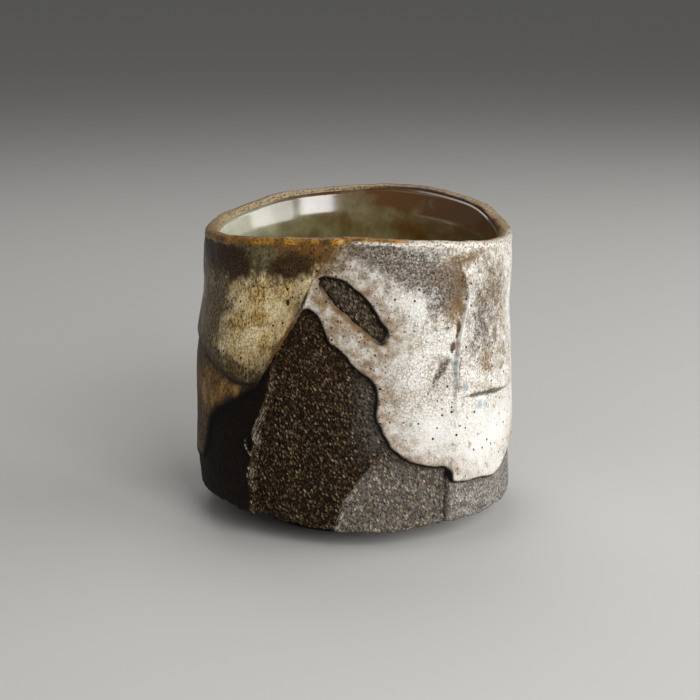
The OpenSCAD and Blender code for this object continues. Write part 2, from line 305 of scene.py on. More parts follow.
def curve_value(knots, at):
    """A smooth curve through pairs of a place and a value: cubic pieces with the mean slope at each knot."""
    x, y = np.array(knots, float).T
    slope = np.gradient(y, x)
    k = np.clip(np.searchsorted(x, at) - 1, 0, len(x) - 2)
    width = x[k + 1] - x[k]
    u = np.clip((at - x[k]) / width, 0, 1)
    start = (1 + 2 * u) * (1 - u) ** 2 * y[k] + u * (1 - u) ** 2 * width * slope[k]
    end = u * u * (3 - 2 * u) * y[k + 1] + u * u * (u - 1) * width * slope[k + 1]
    return start + end


def ring_value(knots, angle):
    """A smooth closed curve round the cup: the same curve, with its ends carried on past a full turn."""
    turns = [(place + turn, value) for turn in (-360, 0, 360) for place, value in knots]
    return curve_value(turns, angle)


print("middle of a step:", float(rise(0.5, 0, 1)), "and of the lip's line:", float(ring_value(RIM_LINE, 0.0)))

# %% [markdown]
# ## The smooth wall
# A surface needs two parameters. Here they are the angle round the axis, from the front, and the share of
# the wall's height, so that grids follow the uneven lip and lower edge by themselves.

# %% The smooth wall
def rim_height(angle):
    """Height of the lip: low on the right and the left, highest at the back."""
    return RIM_HIGH - RIM_DIP * (1 - ring_value(RIM_LINE, angle))


def edge_height(angle):
    """Height of the lower edge, which lifts on the left where the clay was cut away."""
    return FOOT_HEIGHT + EDGE_GAP + EDGE_RISE * ring_value(EDGE_LINE, angle)


def wall_height(angle, share):
    """Height at a share of the way from the lower edge to the shoulder of the lip."""
    return mix(edge_height(angle), rim_height(angle) - LIP_ROUND, share)


def half_width(angle, share):
    """Half width on the left or the right at a share of the height: a line drawn for each side."""
    on_left = np.sin(np.radians(angle)) < 0
    return BELLY_HALF * np.where(on_left, curve_value(LEFT_SIDE, share), curve_value(RIGHT_SIDE, share))


def plan_radius(angle, share):
    """Radius of a squared oval: the powers of its two shares add up to one."""
    turn = np.radians(angle)
    front = mix(BASE_FRONT, LIP_FRONT, smooth(share))
    back = mix(BASE_BACK, LIP_BACK, smooth(share))
    depth = np.where(np.cos(turn) > 0, front, back)
    across = np.abs(np.sin(turn)) / half_width(angle, share)
    along = np.abs(np.cos(turn)) / depth
    return (across ** SQUARENESS + along ** SQUARENESS) ** (-1 / SQUARENESS)


def polar(angle, radius, height):
    """Points at an angle from the front, a radius and a height."""
    turn = np.radians(angle)
    return np.stack(np.broadcast_arrays(radius * np.sin(turn), -radius * np.cos(turn), height), -1)


print("radius in front:", float(plan_radius(0.0, np.array(0.5)).round(2)), "mm at half height")

# %% [markdown]
# ## Random but repeatable lumps
# Clay and glaze are never even. Lumps of a chosen size come from random heights on a lattice, blended
# smoothly between its corners. The heights come from mixing the bits of the lattice numbers, so every run
# is the same.

# %% Lumps
LATTICE_PRIMES = (73856093, 19349663, 83492791)
LATTICE_SHIFT = 0.37
SEED_STEP = 6542989
MIXING = ((13, 1274126177), (15, 668265263))
LARGEST = 0x7FFFFFFF
HALF_RANGE = 0x3FFFFFFF


def lumps(points, size, seed):
    """Smooth random values from -1 to 1 on a lattice of the given size in millimetres."""
    lattice = points / size + LATTICE_SHIFT * seed
    cell = np.floor(lattice).astype(np.int64)
    blend = smooth(lattice - cell)
    total = np.zeros(points.shape[:-1])
    for corner in itertools.product((0, 1), repeat=3):
        mixed = sum((cell[..., k] + corner[k]) * LATTICE_PRIMES[k] for k in range(3)) + seed * SEED_STEP
        for shift, factor in MIXING:
            mixed = (mixed ^ (mixed >> shift)) * factor & LARGEST
        weight = np.prod([np.where(corner[k], blend[..., k], 1 - blend[..., k]) for k in range(3)], axis=0)
        total += weight * (mixed / HALF_RANGE - 1)
    return total


def rough(points, grain):
    """Unevenness given as a height, a size and a seed: the height times the lumps of that size."""
    height, size, seed = grain
    return height * lumps(points, size, seed)


print("lumps:", lumps(np.array([[0.0, 1.0, 2.0], [3.0, 4.0, 5.0]]), 1.5, 1).round(3))

# %% [markdown]
# ## The lines of the cuts
# Three cuts cross the wall: the long one on the left, the crease before the right panel and a short one low
# in the front. Each is drawn as an angle for every share of the height, because a cut runs up the wall
# once. What counts for the carving and the colours is how far a point lies past such a line.

# %% Lines of the cuts, as shares of the wall's height and angles
RIDGE_LINE = [(0, -36.5), (0.1, -36.2), (0.155, -37.3), (0.21, -36.3), (0.275, -35.4), (0.325, -35.8),
              (0.365, -34.4), (0.415, -32.7), (0.46, -31.4), (0.505, -30.8), (0.56, -30.4), (0.655, -26.5),
              (0.757, -20.4), (0.86, -15.8), (0.92, -12), (1, -6)]
CREASE_LINE = [(0, 31), (0.18, 32), (0.32, 34), (0.5, 34.8), (0.6, 35.9), (0.69, 37.7), (0.78, 40.4),
               (0.82, 41.6), (0.85, 41.7), (0.89, 40.5), (1, 38)]
FACET_LINE = [(0, -7.5), (0.05, -6.4), (0.112, -4.7), (0.157, -2.3), (0.19, 0), (0.23, 3.1), (0.3, 9),
              (1, 60)]


def past_line(line, angle, share):
    """Millimetres to the right of a line: the angle less the line's own at that share of the height."""
    return (angle - curve_value(line, share)) * MM_PER_DEGREE


print("the long cut lies", float(past_line(RIDGE_LINE, 0.0, np.array(0.2)).round(1)), "mm left of the middle")

# %% [markdown]
# ## Distances on the unrolled wall
# An edge of glaze turns back on itself, so it is drawn on the unrolled wall, in millimetres round and up.
# The distance to the nearest piece of a line, with a sign for inside and outside, later gives both the
# thickness of the glaze at its edge and the dark line along it.

# %% Drawn lines and distances
STEPS_PER_KNOT = 6
TINY = 1e-12


def unrolled(angle, share):
    """Millimetres round the wall and up it."""
    return angle * MM_PER_DEGREE + 0 * share, wall_height(angle, share)


def drawn_line(knots):
    """A smooth line through points of angle and height, in millimetres round and up: cubic pieces."""
    points = np.array(knots, float) * [MM_PER_DEGREE, 1]
    place = np.concatenate([[0], np.cumsum(np.linalg.norm(np.diff(points, axis=0), axis=1))])
    at = np.unique(np.concatenate([np.linspace(a, b, STEPS_PER_KNOT + 1) for a, b in zip(place, place[1:])]))
    return np.stack([curve_value(np.stack([place, points[:, k]], -1), at) for k in range(2)], -1)


def closed_outline(*lines):
    """One closed outline from several drawn lines, end to end."""
    return np.concatenate([drawn_line(line) for line in lines])


def line_distance(around, up, line):
    """Distance to a line: the smallest of those to the closest point of each straight piece."""
    nearest = np.full(around.shape, np.inf)
    for (ax, ay), (bx, by) in zip(line, line[1:]):
        run = bx - ax
        lift = by - ay
        share = np.clip(((around - ax) * run + (up - ay) * lift) / (run * run + lift * lift + TINY), 0, 1)
        nearest = np.minimum(nearest, (around - ax - share * run) ** 2 + (up - ay - share * lift) ** 2)
    return np.sqrt(nearest)


def inside_distance(around, up, outline):
    """Distance to a closed outline, positive inside, where a level ray crosses it an odd number of times."""
    closed = np.concatenate([outline, outline[:1]])
    odd = np.zeros(around.shape, bool)
    for (ax, ay), (bx, by) in zip(closed, closed[1:]):
        odd ^= ((ay > up) != (by > up)) & (around < (bx - ax) * (up - ay) / (by - ay + TINY) + ax)
    return np.where(odd, 1, -1) * line_distance(around, up, closed)


test_square = np.array([[0.0, 0.0], [2.0, 0.0], [2.0, 2.0], [0.0, 2.0]])
print("middle of a square:", float(inside_distance(np.array(1.0), np.array(1.0), test_square)), "mm inside")

# %% [markdown]
# ## The edges of the glaze
# The white pour covers the front, the right and the back and leaves a window bare. The cream pour ends at
# mid-height on the left, with a thin coat below it. Their edges are drawn as a potter would follow them
# with a finger: a few points, with a smooth curve through them.

# %% Edges of the glaze, as angles and heights
ABOVE = 70
WHITE_EDGE = [(-20.2, 46.2), (-17.8, 46), (-15, 45.2), (-12.4, 42.8), (-9.8, 40.2), (-5.7, 38.6),
              (-0.7, 35.5), (4.9, 33.2), (7, 31.3), (7.1, 28.5), (6.7, 26.3), (8.6, 24), (10.9, 21.3),
              (13.7, 19.5), (17.5, 18), (23.4, 16.5), (32.2, 15.2), (32.9, 13.3), (35.5, 12.8),
              (45.7, 12.2), (54, 11.6), (60, 12.3), (67.4, 14.5), (80, 15.5), (95, 14), (110, 11.5),
              (125, 12.8), (140, 15.8), (155, 14.8), (170, 12.4), (185, 13.4), (197, 15)]
WHITE_SEAM = [(197, 15), (195.6, 21), (197.6, 28), (198.4, 35), (195.8, 42), (196.4, 49), (198.6, 55),
              (197, ABOVE)]
WHITE_SIDE = [(-4.5, ABOVE), (-6.4, 60), (-12.6, 54.8), (-16.4, 52), (-20.2, 46.2)]
WINDOW_EDGE = [(-14.8, 52.3), (-10.6, 52.2), (-6.2, 51.7), (-2.2, 50.7), (1.1, 49.3), (4.3, 47.8),
               (6.5, 46.1), (8.6, 44.3), (10.6, 42.9), (11.3, 41.4), (9.8, 40.2), (6.4, 41), (3.9, 41.9),
               (-0.4, 43.7), (-4.3, 45.5), (-7.2, 46.5), (-9.4, 47.7), (-11.6, 49.3), (-13.5, 50.8),
               (-14.8, 52.3)]
CREAM_EDGE = [(-168, 33.5), (-150, 35), (-135, 36), (-110, 37.4), (-90, 36.8), (-70.3, 35.5), (-62.4, 34.3),
              (-57, 33.1), (-50.9, 31.8), (-45.9, 31.2), (-41.9, 31), (-38.5, 31.2), (-36, 31.8),
              (-34.4, 33)]
CREAM_SIDE = [(-34.4, 33), (-31.4, 35.6), (-25.9, 40.7), (-19.9, 46.4), (-15.2, 52.2), (-12, 54.6),
              (-5.3, 60), (-3.5, ABOVE)]
CREAM_TOP = [(-3.5, ABOVE), (-168, ABOVE)]
SKIRT_EDGE = [(-168, 14.8), (-145, 13.6), (-130, 12.2), (-110, 13.6), (-90, 12), (-72, 12.7), (-64.6, 14),
              (-62, 16.5), (-59.7, 20.9), (-57.1, 23.5), (-51.6, 25.8), (-46.4, 27.4), (-41.4, 29.3),
              (-35.5, 31.6)]
SKIRT_TOP = [(-35.5, 31.6), (-35.5, 33), (-60, 36), (-110, 39), (-168, 37)]

white_outline = closed_outline(WHITE_SIDE, WHITE_EDGE, WHITE_SEAM)
window_outline = drawn_line(WINDOW_EDGE)
cream_outline = closed_outline(CREAM_EDGE, CREAM_SIDE, CREAM_TOP)
skirt_outline = closed_outline(SKIRT_EDGE, SKIRT_TOP)
print("outline points:", len(white_outline), len(window_outline), len(cream_outline), len(skirt_outline))

# %% [markdown]
# ## Where the glaze lies
# Poured glaze stops in a rounded roll: its thickness rises from nothing to the full coat within a
# millimetre of its edge, like the quarter of an oval. Outside the edge the same surface dives under the
# clay, so the visible edge is the line where the two surfaces meet.

# %% Distances inside the coats
DIVE_DEPTH = 0.5
DIVE_WIDTH = 0.5
# Outline, window and the wander of the edge
COATS = {"white": (white_outline, window_outline, (0.16, 1.3, 11)),
         "cream": (cream_outline, None, (0.14, 1.2, 12)),
         "skirt": (skirt_outline, None, (0.2, 1.6, 13))}


def coat_inside(coat, angle, share):
    """Distance inside a coat and outside its window, with an edge that wanders a little."""
    outline, window, wander = COATS[coat]
    around, up = unrolled(angle, share)
    inside = inside_distance(around, up, outline)
    if window is not None:
        inside = np.minimum(inside, -inside_distance(around, up, window))
    return inside + rough(np.stack([around, up, 0 * up], -1), wander)


def roll(inside, width):
    """Thickness share of a coat: a quarter oval over a width, and outside the edge a dive under the clay."""
    quarter = np.sqrt(1 - (1 - np.clip(inside / width, 0, 1)) ** 2)
    return np.where(inside > 0, quarter, -DIVE_DEPTH * np.clip(-inside / DIVE_WIDTH, 0, 1))


print("thickness share at half of the roll:", float(roll(np.array(0.5), 1.0).round(2)))

# %% [markdown]
# ## The carving
# A wire cut took a slice off the front. Its left end stands up as a raised edge, the slice left a slightly
# hollow facet, and on the right the uncut wall stands proud, with a crack at its foot. A second, shorter
# cut starts low in the front. Sculpting would do it by eye; here each is a height added to the smooth wall,
# as a function of the distance past the cut's line, so the glaze can follow the very same form.

# %% Heights of the carving
RIDGE_HEIGHT = 1.1
RIDGE_FADE = 8.5
RIDGE_LESS_ABOVE = 0.6
CUT_DEPTH = 0.7
CUT_FADE = 21.0
CUT_STEP = 0.55
CREASE_HEIGHT = 0.8
CREASE_FADE = 19.0
CREASE_LESS_ABOVE = 0.5
CRACK_DEPTH = 0.35
CRACK_WIDTH = 0.25
FACET_HEIGHT = 0.5
FACET_STEP = 0.45
FACET_FADE = 16.0
# Shares of the wall's height where a form is gone and where it is full
CREASE_END = (1, 0.9)
CRACK_END = (0.24, 0.2)
FACET_END = (0.3, 0.18)
PRESSING = (0.16, 11.0, 3)


def panel_height(over, share, width):
    """Height of the right panel: a step of the given width that fades over the panel and up to the lip."""
    crest = CREASE_HEIGHT * (1 - CREASE_LESS_ABOVE * share) * rise(share, *CREASE_END)
    return crest * smooth(over / width) * np.clip(1 - over / CREASE_FADE, 0, 1) ** 2


def carving(angle, share):
    """Height of the carving over the wall: the long cut, the right panel, its crack and the low facet."""
    across = past_line(RIDGE_LINE, angle, share)
    crest = RIDGE_HEIGHT * (1 - RIDGE_LESS_ABOVE * share)
    left = crest * np.clip(1 + across / RIDGE_FADE, 0, 1) ** 2
    right = -CUT_DEPTH * np.clip(1 - across / CUT_FADE, 0, 1) ** 2
    cut = np.where(across < 0, left, mix(crest, right, smooth(across / CUT_STEP)))
    over = past_line(CREASE_LINE, angle, share)
    crack = -CRACK_DEPTH * bell(over, 0, CRACK_WIDTH) * rise(share, *CRACK_END)
    past = past_line(FACET_LINE, angle, share)
    facet = FACET_HEIGHT * smooth(past / FACET_STEP) * np.clip(1 - past / FACET_FADE, 0, 1)
    facet = facet * rise(share, *FACET_END)
    return cut + panel_height(over, share, CUT_STEP) + crack + np.where(over < 0, facet, 0)


def form_radius(angle, share):
    """Radius of the carved clay without its grit: the smooth wall, the carving and uneven hand pressure."""
    base = plan_radius(angle, share)
    pressed = rough(polar(angle, base, wall_height(angle, share)), PRESSING)
    return base + carving(angle, share) + pressed


print("carving at the raised edge:", float(carving(np.array(-40.0), np.array(0.2)).round(2)), "mm")

# %% [markdown]
# ## Grids and pieces
# The clay is a closed surface: from the middle of the underside out to the lower edge, up the outside, over
# the lip and down the inside to the floor. Its rings are close together where the clay is bare and seen,
# and further apart under the glaze. A coat is a closed shell: an outer sheet, a sheet just under the clay
# and a wall between. Closed pieces are also what a printer or a slicer wants.

# %% Closed surfaces
def stretches(*parts):
    """Places along a line in even stretches: each part is a start, an end and a count."""
    return np.concatenate([np.linspace(start, end, count, endpoint=False) for start, end, count in parts])


def closed_body(rings):
    """Points and faces of rings joined into a closed body, with a fan at its first and last ring."""
    rows, columns = rings.shape[:2]
    ends = np.stack([rings[0].mean(0), rings[-1].mean(0)])
    points = np.concatenate([rings.reshape(-1, 3), ends])
    column = np.arange(columns)
    after = (column + 1) % columns
    first = np.stack([np.full(columns, rows * columns), after, column], -1)
    last = np.stack([np.full(columns, rows * columns + 1), column, after], -1)
    last[:, 1:] += (rows - 1) * columns
    return points, [ring_faces(rows, columns), np.concatenate([first, last])]


def closed_shell(outer, inner, keep):
    """Points and faces of a shell: the kept cells of both sheets, with walls round the kept part."""
    rows, columns = outer.shape[:2]
    under = rows * columns
    index = np.arange(under).reshape(rows, columns)
    a, b, c, d = index[:-1, :-1], index[:-1, 1:], index[1:, 1:], index[1:, :-1]
    quads = [np.stack([a, b, c, d], -1)[keep], np.stack([d, c, b, a], -1)[keep] + under]
    framed = np.pad(keep, 1)
    sides = [(framed[:-2, 1:-1], a, b), (framed[2:, 1:-1], c, d),
             (framed[1:-1, :-2], d, a), (framed[1:-1, 2:], b, c)]
    for neighbour, start, end in sides:
        open_side = keep & ~neighbour
        s = start[open_side]
        e = end[open_side]
        quads.append(np.stack([s, s + under, e + under, e], -1))
    quads = np.concatenate(quads)
    used, places = np.unique(quads, return_inverse=True)
    points = np.concatenate([outer.reshape(-1, 3), inner.reshape(-1, 3)])[used]
    return points, [places.reshape(quads.shape)], used % under


def add_piece(name, points, faces, fields, material, node):
    """Makes a piece that rides on the body and stands for a CAD node, with its fields as named attributes."""
    mesh = build_mesh(name, points, faces)
    for field, values in fields.items():
        attribute = mesh.attributes.new(field, "FLOAT", "POINT")
        attribute.data.foreach_set("value", values.astype(np.float32).ravel())
    mesh.materials.append(material)
    piece = bpy.data.objects.new(name, mesh)
    bpy.context.collection.objects.link(piece)
    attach(piece, "root")
    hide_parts(node)
    triangles = sum(len(part) * (part.shape[1] - 2) for part in faces)
    print(name, "has", triangles, "triangles")


print("places in two stretches:", stretches((0, 1, 2), (1, 2, 4)).tolist())

# %% [markdown]
# ## Bare stoneware
# The clay is coarse stoneware, full of sand, that fired dark brown. Cutting drags the grains along, so the
# bare facet is rough and glitters where the light rakes over it, and its pale grains are partly painted
# glints. It is matt, with a faint shine on single grains. It goes grey in wiped streaks where ash settled,
# painted lighter where it faces the light, rusty higher up, pale where an edge was scraped, with a painted
# highlight there, and dark next to the glaze, partly iron and partly painted shadow. Its pits, the crack and
# the clay left of the raised edge are painted darker as shade. The larger grains are in the mesh, and the
# finer ones are a bump and a pattern of cells, because a mesh that fine would be far too large.

# %% Pattern: grains in the clay
GRAIN_DRIFT = 0.2 * MM
GRAIN_SLANT = math.radians(-30)
GRAIN_DIMMEST = 0.22
# Size in millimetres, as of a potter's coarse sand, and the widest reach in a cell
GRAINS = [(0.42, 0.62), (0.29, 0.8)]


def sand_grains(tree, place, shake, wear_and_highlight):
    """Slanting grains: cells whose random numbers give each its reach and its brightness, more where worn and
    lit.
    """
    drift = add(tree, "VectorMath", {0: shake, 1: (GRAIN_DRIFT,) * 3}, operation="MULTIPLY")
    drifted = add(tree, "VectorMath", {0: place, 1: drift}, operation="ADD")
    slant = add(tree, "Mapping", {"Vector": drifted, "Rotation": (0, GRAIN_SLANT, 0), "Scale": (1, 1, 2)},
                vector_type="TEXTURE")
    more = add(tree, "Math", {0: wear_and_highlight, 1: 0.5}, operation="MULTIPLY")
    more = add(tree, "Math", {0: more, 1: 0.12}, operation="MINIMUM")
    grains = []
    for size, widest in GRAINS:
        distance = add(tree, "TexVoronoi", {"Vector": slant, "Scale": per_metre(size)}, feature="F1")
        chance = add(tree, "SeparateColor", {0: distance.node.outputs["Color"]}).node.outputs
        reach = add(tree, "MapRange", {"Value": chance[0], "To Max": widest})
        reach = add(tree, "Math", {0: reach, 1: more}, operation="ADD")
        depth = add(tree, "Math", {0: reach, 1: distance}, operation="SUBTRACT")
        bright = add(tree, "Math", {0: chance[1], 1: 2.0}, operation="POWER")
        bright = add(tree, "MapRange", {"Value": bright, "To Min": GRAIN_DIMMEST})
        bright = add(tree, "Math", {0: wear_and_highlight, 1: 0.2, 2: bright}, operation="MULTIPLY_ADD", use_clamp=True)
        grains.append(add(tree, "MapRange", {"Value": depth, "From Max": 0.2, "To Max": bright}))
    return grains


print("grains of", " and ".join(str(size) for size, widest in GRAINS), "mm")

# %% Finish: bare stoneware
CLAY_KEYS = ("ash_and_light", "stain_and_shade", "wear_and_highlight", "rust")


def bare_stoneware(name):
    """Coarse fired clay: earth, painted pit shade, grains partly painted glints, then ash, light, highlights,
    rust, stain and shade.
    """
    material, tree, shader, place = new_material(name)
    ash_and_light, stain_and_shade, wear_and_highlight, rust = (add(tree, "Attribute", out="Fac", attribute_name=key) for key in CLAY_KEYS)
    cloud = add(tree, "TexNoise", {"Vector": place, "Scale": per_metre(4), "Detail": 4.0})
    fine = add(tree, "TexNoise", {"Vector": place, "Scale": per_metre(0.5), "Detail": 3.0, "Roughness": 0.6})
    grains = sand_grains(tree, place, fine.node.outputs["Color"], wear_and_highlight)
    # Scrapes run up the raised edge, pale clay with a painted highlight on it, and wiped ash runs round the
    # wall
    along = add(tree, "Mapping", {"Vector": place, "Rotation": (0, math.radians(20), 0), "Scale": (1, 1, 4)},
                vector_type="TEXTURE")
    streak = add(tree, "TexNoise", {"Vector": along, "Scale": per_metre(0.34), "Detail": 4.0})
    streak = add(tree, "MapRange", {"Value": streak, "From Min": 0.47, "From Max": 0.6})
    scraped_and_lit = add(tree, "MapRange", {"Value": wear_and_highlight, "From Min": 0.3})
    scrape_and_highlight = add(tree, "Math", {0: streak, 1: scraped_and_lit}, operation="MULTIPLY")
    level = add(tree, "Mapping", {"Vector": place, "Scale": (5, 5, 1)}, vector_type="TEXTURE")
    wiped = add(tree, "TexNoise", {"Vector": level, "Scale": per_metre(0.7), "Detail": 5.0})
    wiped = add(tree, "MapRange", {"Value": wiped, "From Min": 0.36, "From Max": 0.6, "To Min": 0.55})
    # The ash grey is partly painted light on the faces turned to the light
    dusty_and_lit = add(tree, "MapRange", {"Value": fine, "From Min": 0.38, "From Max": 0.6, "To Min": 0.35})
    dusty_and_lit = add(tree, "Math", {0: dusty_and_lit, 1: wiped}, operation="MULTIPLY")
    dusty_and_lit = add(tree, "Math", {0: ash_and_light, 1: dusty_and_lit}, operation="MULTIPLY", use_clamp=True)
    # Grains whiter where ash lies, partly as painted glints
    dusted_glints = add(tree, "Math", {0: ash_and_light, 1: grains[0]}, operation="MULTIPLY", use_clamp=True)
    # Painted shade in the pits between the grains, which the bump can't cast, shows only where the clay is
    # brown
    painted_pit_shade = add(tree, "MapRange", {"Value": fine, "From Min": 0.5, "From Max": 0.4, "To Max": 0.85})
    brown = add(tree, "Math", {0: 1.0, 1: ash_and_light}, operation="SUBTRACT", use_clamp=True)
    painted_pit_shade = add(tree, "Math", {0: painted_pit_shade, 1: brown}, operation="MULTIPLY")
    earth = add(tree, "MapRange", {"Value": fine, "From Min": 0.38, "From Max": 0.62})
    warm = add(tree, "MapRange", {"Value": cloud, "From Min": 0.35, "From Max": 0.65, "To Max": 0.5})
    # Painted light in these layers: the ash grey is also lighter where the clay faces the light, the pits are
    # painted shade, the pale grains are partly real sand and partly painted glints, the scrapes carry a
    # painted highlight, and the last, darkest layer is partly iron stain and partly painted shadow and shade
    layers = [(earth, "#2b1a09"), (warm, "#241305"), (rust, "#3a2009"), (dusty_and_lit, "#b6b2ab"), (painted_pit_shade, "#080401"),
              (grains[1], "#786041"), (grains[0], "#b09a76"), (dusted_glints, "#e6e2da"), (scrape_and_highlight, "#d8d0c2"),
              (stain_and_shade, "#0c0602")]
    glint = add(tree, "Math", {0: grains[0], 1: scrape_and_highlight}, operation="MAXIMUM")
    height = add(tree, "Math", {0: grains[1], 1: 0.7, 2: fine}, operation="MULTIPLY_ADD")
    height = add(tree, "Math", {0: glint, 1: height}, operation="ADD")
    plug(tree, shader, {
        "Base Color": paint(tree, "#080301", layers),
        "Roughness": add(tree, "MapRange", {"Value": glint, "To Min": 0.65, "To Max": 0.25}),
        "Normal": add(tree, "Bump", {"Height": height, "Strength": 1.0, "Distance": 0.7 * MM}),
        "IOR": 1.45, "Specular IOR Level": 0.15})
    return material


stoneware = bare_stoneware("dark_gritty_stoneware")
foot_stoneware = bare_stoneware("dark_foot_stoneware")
print("finishes:", stoneware.name, foot_stoneware.name)

# %% [markdown]
# ## The clay body
# The body was pressed and hollowed from one lump, then cut. Its outside is the carved form with three finer
# things on it: grit that the wire dragged along, a torn burr with a small curl on the raised edge, and a
# crumbling lower edge. They are added to the radius and the height of a fine grid, so that they are true
# relief, and they fade out under the glaze.

# %% The grid of the clay wall
CLAY_ANGLES = stretches((-160, -92, 36), (-92, -47, 70), (-47, -30, 90), (-30, -20, 24), (-20, 60, 150),
                        (60, 82, 36), (82, SEAM_ANGLE, 60))
CLAY_SHARES = np.append(stretches((0, 0.012, 3), (0.012, 0.22, 48), (0.22, 0.56, 64), (0.56, 0.9, 46),
                                  (0.9, 1, 3)), 1)
EDGE_WANDER = (0.12, 0.9, 35)
angle, share = np.meshgrid(CLAY_ANGLES, CLAY_SHARES)
form = form_radius(angle, share)
wall = polar(angle, form, wall_height(angle, share))
around, up = unrolled(angle, share)
bare_gap = -np.max([coat_inside(coat, angle, share) for coat in COATS], axis=0)
from_ridge = past_line(RIDGE_LINE, angle, share)
beside = from_ridge + rough(wall, EDGE_WANDER)
over = past_line(CREASE_LINE, angle, share)
past = past_line(FACET_LINE, angle, share)
print("clay grid", form.shape, "with", int((bare_gap > 0).sum()), "bare points")

# %% Grit, burr and the crumbling edge
DRAG_TURN = np.array([[0.82, 0, -0.57], [0, 1, 0], [0.57, 0, 0.82]])
DRAG_STRETCH = [1.0, 1.0, 1.8]
# Share in the relief, how far the lumps are lifted, and the lumps: fine grit and coarse
GRIT_LAYERS = [(0.7, 0.25, (1.0, 0.55, 21)), (0.6, 0.1, (1.0, 1.0, 22))]
GRIT_SUNK = 0.35
GRIT_FRONT = 0.28
GRIT_FACET = 0.42
GRIT_PANEL = 0.06
GRIT_LEFT = 0.08
# Millimetres past a line, or shares of the height, where a form is gone and where it is full
FACET_GRIT_STEP = (0, 2)
FACET_GRIT_END = (0.3, 0.2)
PANEL_GRIT_STEP = (0, 0.8)
FRONT_GRIT_STEP = (-1, 0.5)
BURR_STEP = (0.4, 0)
BARE_STEP = (-0.2, 0.3)
BURR_FADE = 0.8
BURR_HEIGHTS = [(0, 0.1), (0.08, 0.2), (0.12, 0.6), (0.16, 0.7), (0.2, 0.4), (0.25, 0.3), (0.27, 0.8),
                (0.33, 0.9), (0.42, 0.5), (0.56, 0.3), (0.62, 0)]
BURR_SCALE = 0.9
TORN = (0.35, 1.2, 31)
CURL_LINE = drawn_line([(-39.2, 20.7), (-38.8, 19.7), (-37.7, 18.8), (-36.2, 18.3)])
CURL_HEIGHT = 0.6
CURL_WIDTH = 0.26
EDGE_LUMPS = (0.3, 1.6, 32)
EDGE_CRUMBS = (0.12, 0.6, 33)
EDGE_BAND = 0.035
EDGE_TUCK = 0.35
EDGE_TUCK_BAND = 0.012
UNDER_GLAZE = 0.12

dragged = wall @ DRAG_TURN / DRAG_STRETCH
grit = sum(part * np.clip(rough(dragged, grain) + lift, 0, 1) for part, lift, grain in GRIT_LAYERS)
grit = grit - GRIT_SUNK
strength = mix(GRIT_FRONT, GRIT_FACET, rise(past, *FACET_GRIT_STEP) * rise(share, *FACET_GRIT_END))
strength = mix(strength, GRIT_PANEL, rise(over, *PANEL_GRIT_STEP))
strength = mix(GRIT_LEFT, strength, rise(from_ridge, *FRONT_GRIT_STEP))
crest = np.where(beside < 0, np.clip(1 + beside / BURR_FADE, 0, 1) ** 2, rise(beside, *BURR_STEP))
burr_line = curve_value(BURR_HEIGHTS, share)
curl = bell(line_distance(around, up, CURL_LINE), 0, CURL_WIDTH)
burr = BURR_SCALE * burr_line * crest * (1 - TORN[0] + rough(wall, TORN)) + CURL_HEIGHT * curl
bare = rise(bare_gap, *BARE_STEP)
radius = form - UNDER_GLAZE * (1 - bare) + bare * (strength * grit + burr)
radius = radius - EDGE_TUCK * rise(share, EDGE_TUCK_BAND, 0)
crumbling = rise(share, EDGE_BAND, 0) * (rough(wall, EDGE_LUMPS) + rough(wall, EDGE_CRUMBS))
height = wall_height(angle, share) + crumbling
outside = polar(angle, radius, height)
print("relief from", float((radius - form).min().round(2)), "to", float((radius - form).max().round(2)), "mm")

# %% Underside, lip and inside of the clay
UNDER_SHARES = np.array([0.0, 0.25, 0.5, 0.75, 0.93])
UNDER_FOOT = 2.0
UNDER_LUMPS = (0.1, 0.9, 34)
INNER_SHARES = np.array([0.05, 0.2, 0.4, 0.6, 0.76, 0.88, 0.95, 0.985, 0.999])
INNER_POWER = 4.0
LIP_TURNS = np.radians([35, 70, 110, 145])
# The clay of the lip stays a little inside its coat
LIP_NARROWER = 0.95
LIP_LOWER = 0.9


def inner_radius(angle, depth_share, coat):
    """Radius and height of the inside at a share of its depth, with a rounded lower corner, less a coat."""
    height = mix(rim_height(angle) - LIP_ROUND, FLOOR_HEIGHT, depth_share)
    low = edge_height(angle)
    share = np.clip((height - low) / (rim_height(angle) - LIP_ROUND - low), 0, 1)
    span = (1 - depth_share ** INNER_POWER) ** (1 / INNER_POWER)
    return (plan_radius(angle, share) - mix(WALL_THICKNESS, LIP_THICKNESS, share) - coat) * span, height


under_angle, under_share = np.meshgrid(CLAY_ANGLES, UNDER_SHARES)
under_radius = mix(FOOT_RADIUS - UNDER_FOOT, radius[0], under_share)
under_slope = rise(under_radius, FOOT_RADIUS, radius[0])
under_height = mix(FOOT_HEIGHT, height[0], under_slope)
under_height = under_height + under_slope * rough(polar(under_angle, under_radius, 0.0), UNDER_LUMPS)
underside = polar(under_angle, under_radius, under_height)
lip_angle, lip_turn = np.meshgrid(CLAY_ANGLES, LIP_TURNS)
lip_middle = form[-1] - LIP_THICKNESS / 2
lip = polar(lip_angle, lip_middle + LIP_NARROWER * LIP_THICKNESS / 2 * np.cos(lip_turn),
            rim_height(lip_angle) - LIP_ROUND + LIP_LOWER * LIP_ROUND * np.sin(lip_turn))
inside_angle, inside_depth = np.meshgrid(CLAY_ANGLES, INNER_SHARES)
inside = polar(inside_angle, *inner_radius(inside_angle, inside_depth, 0.0))
clay_points, clay_faces = closed_body(np.concatenate([underside, outside, lip, inside]))
print("rings below, outside, on the lip and inside:", len(underside), len(outside), len(lip), len(inside))

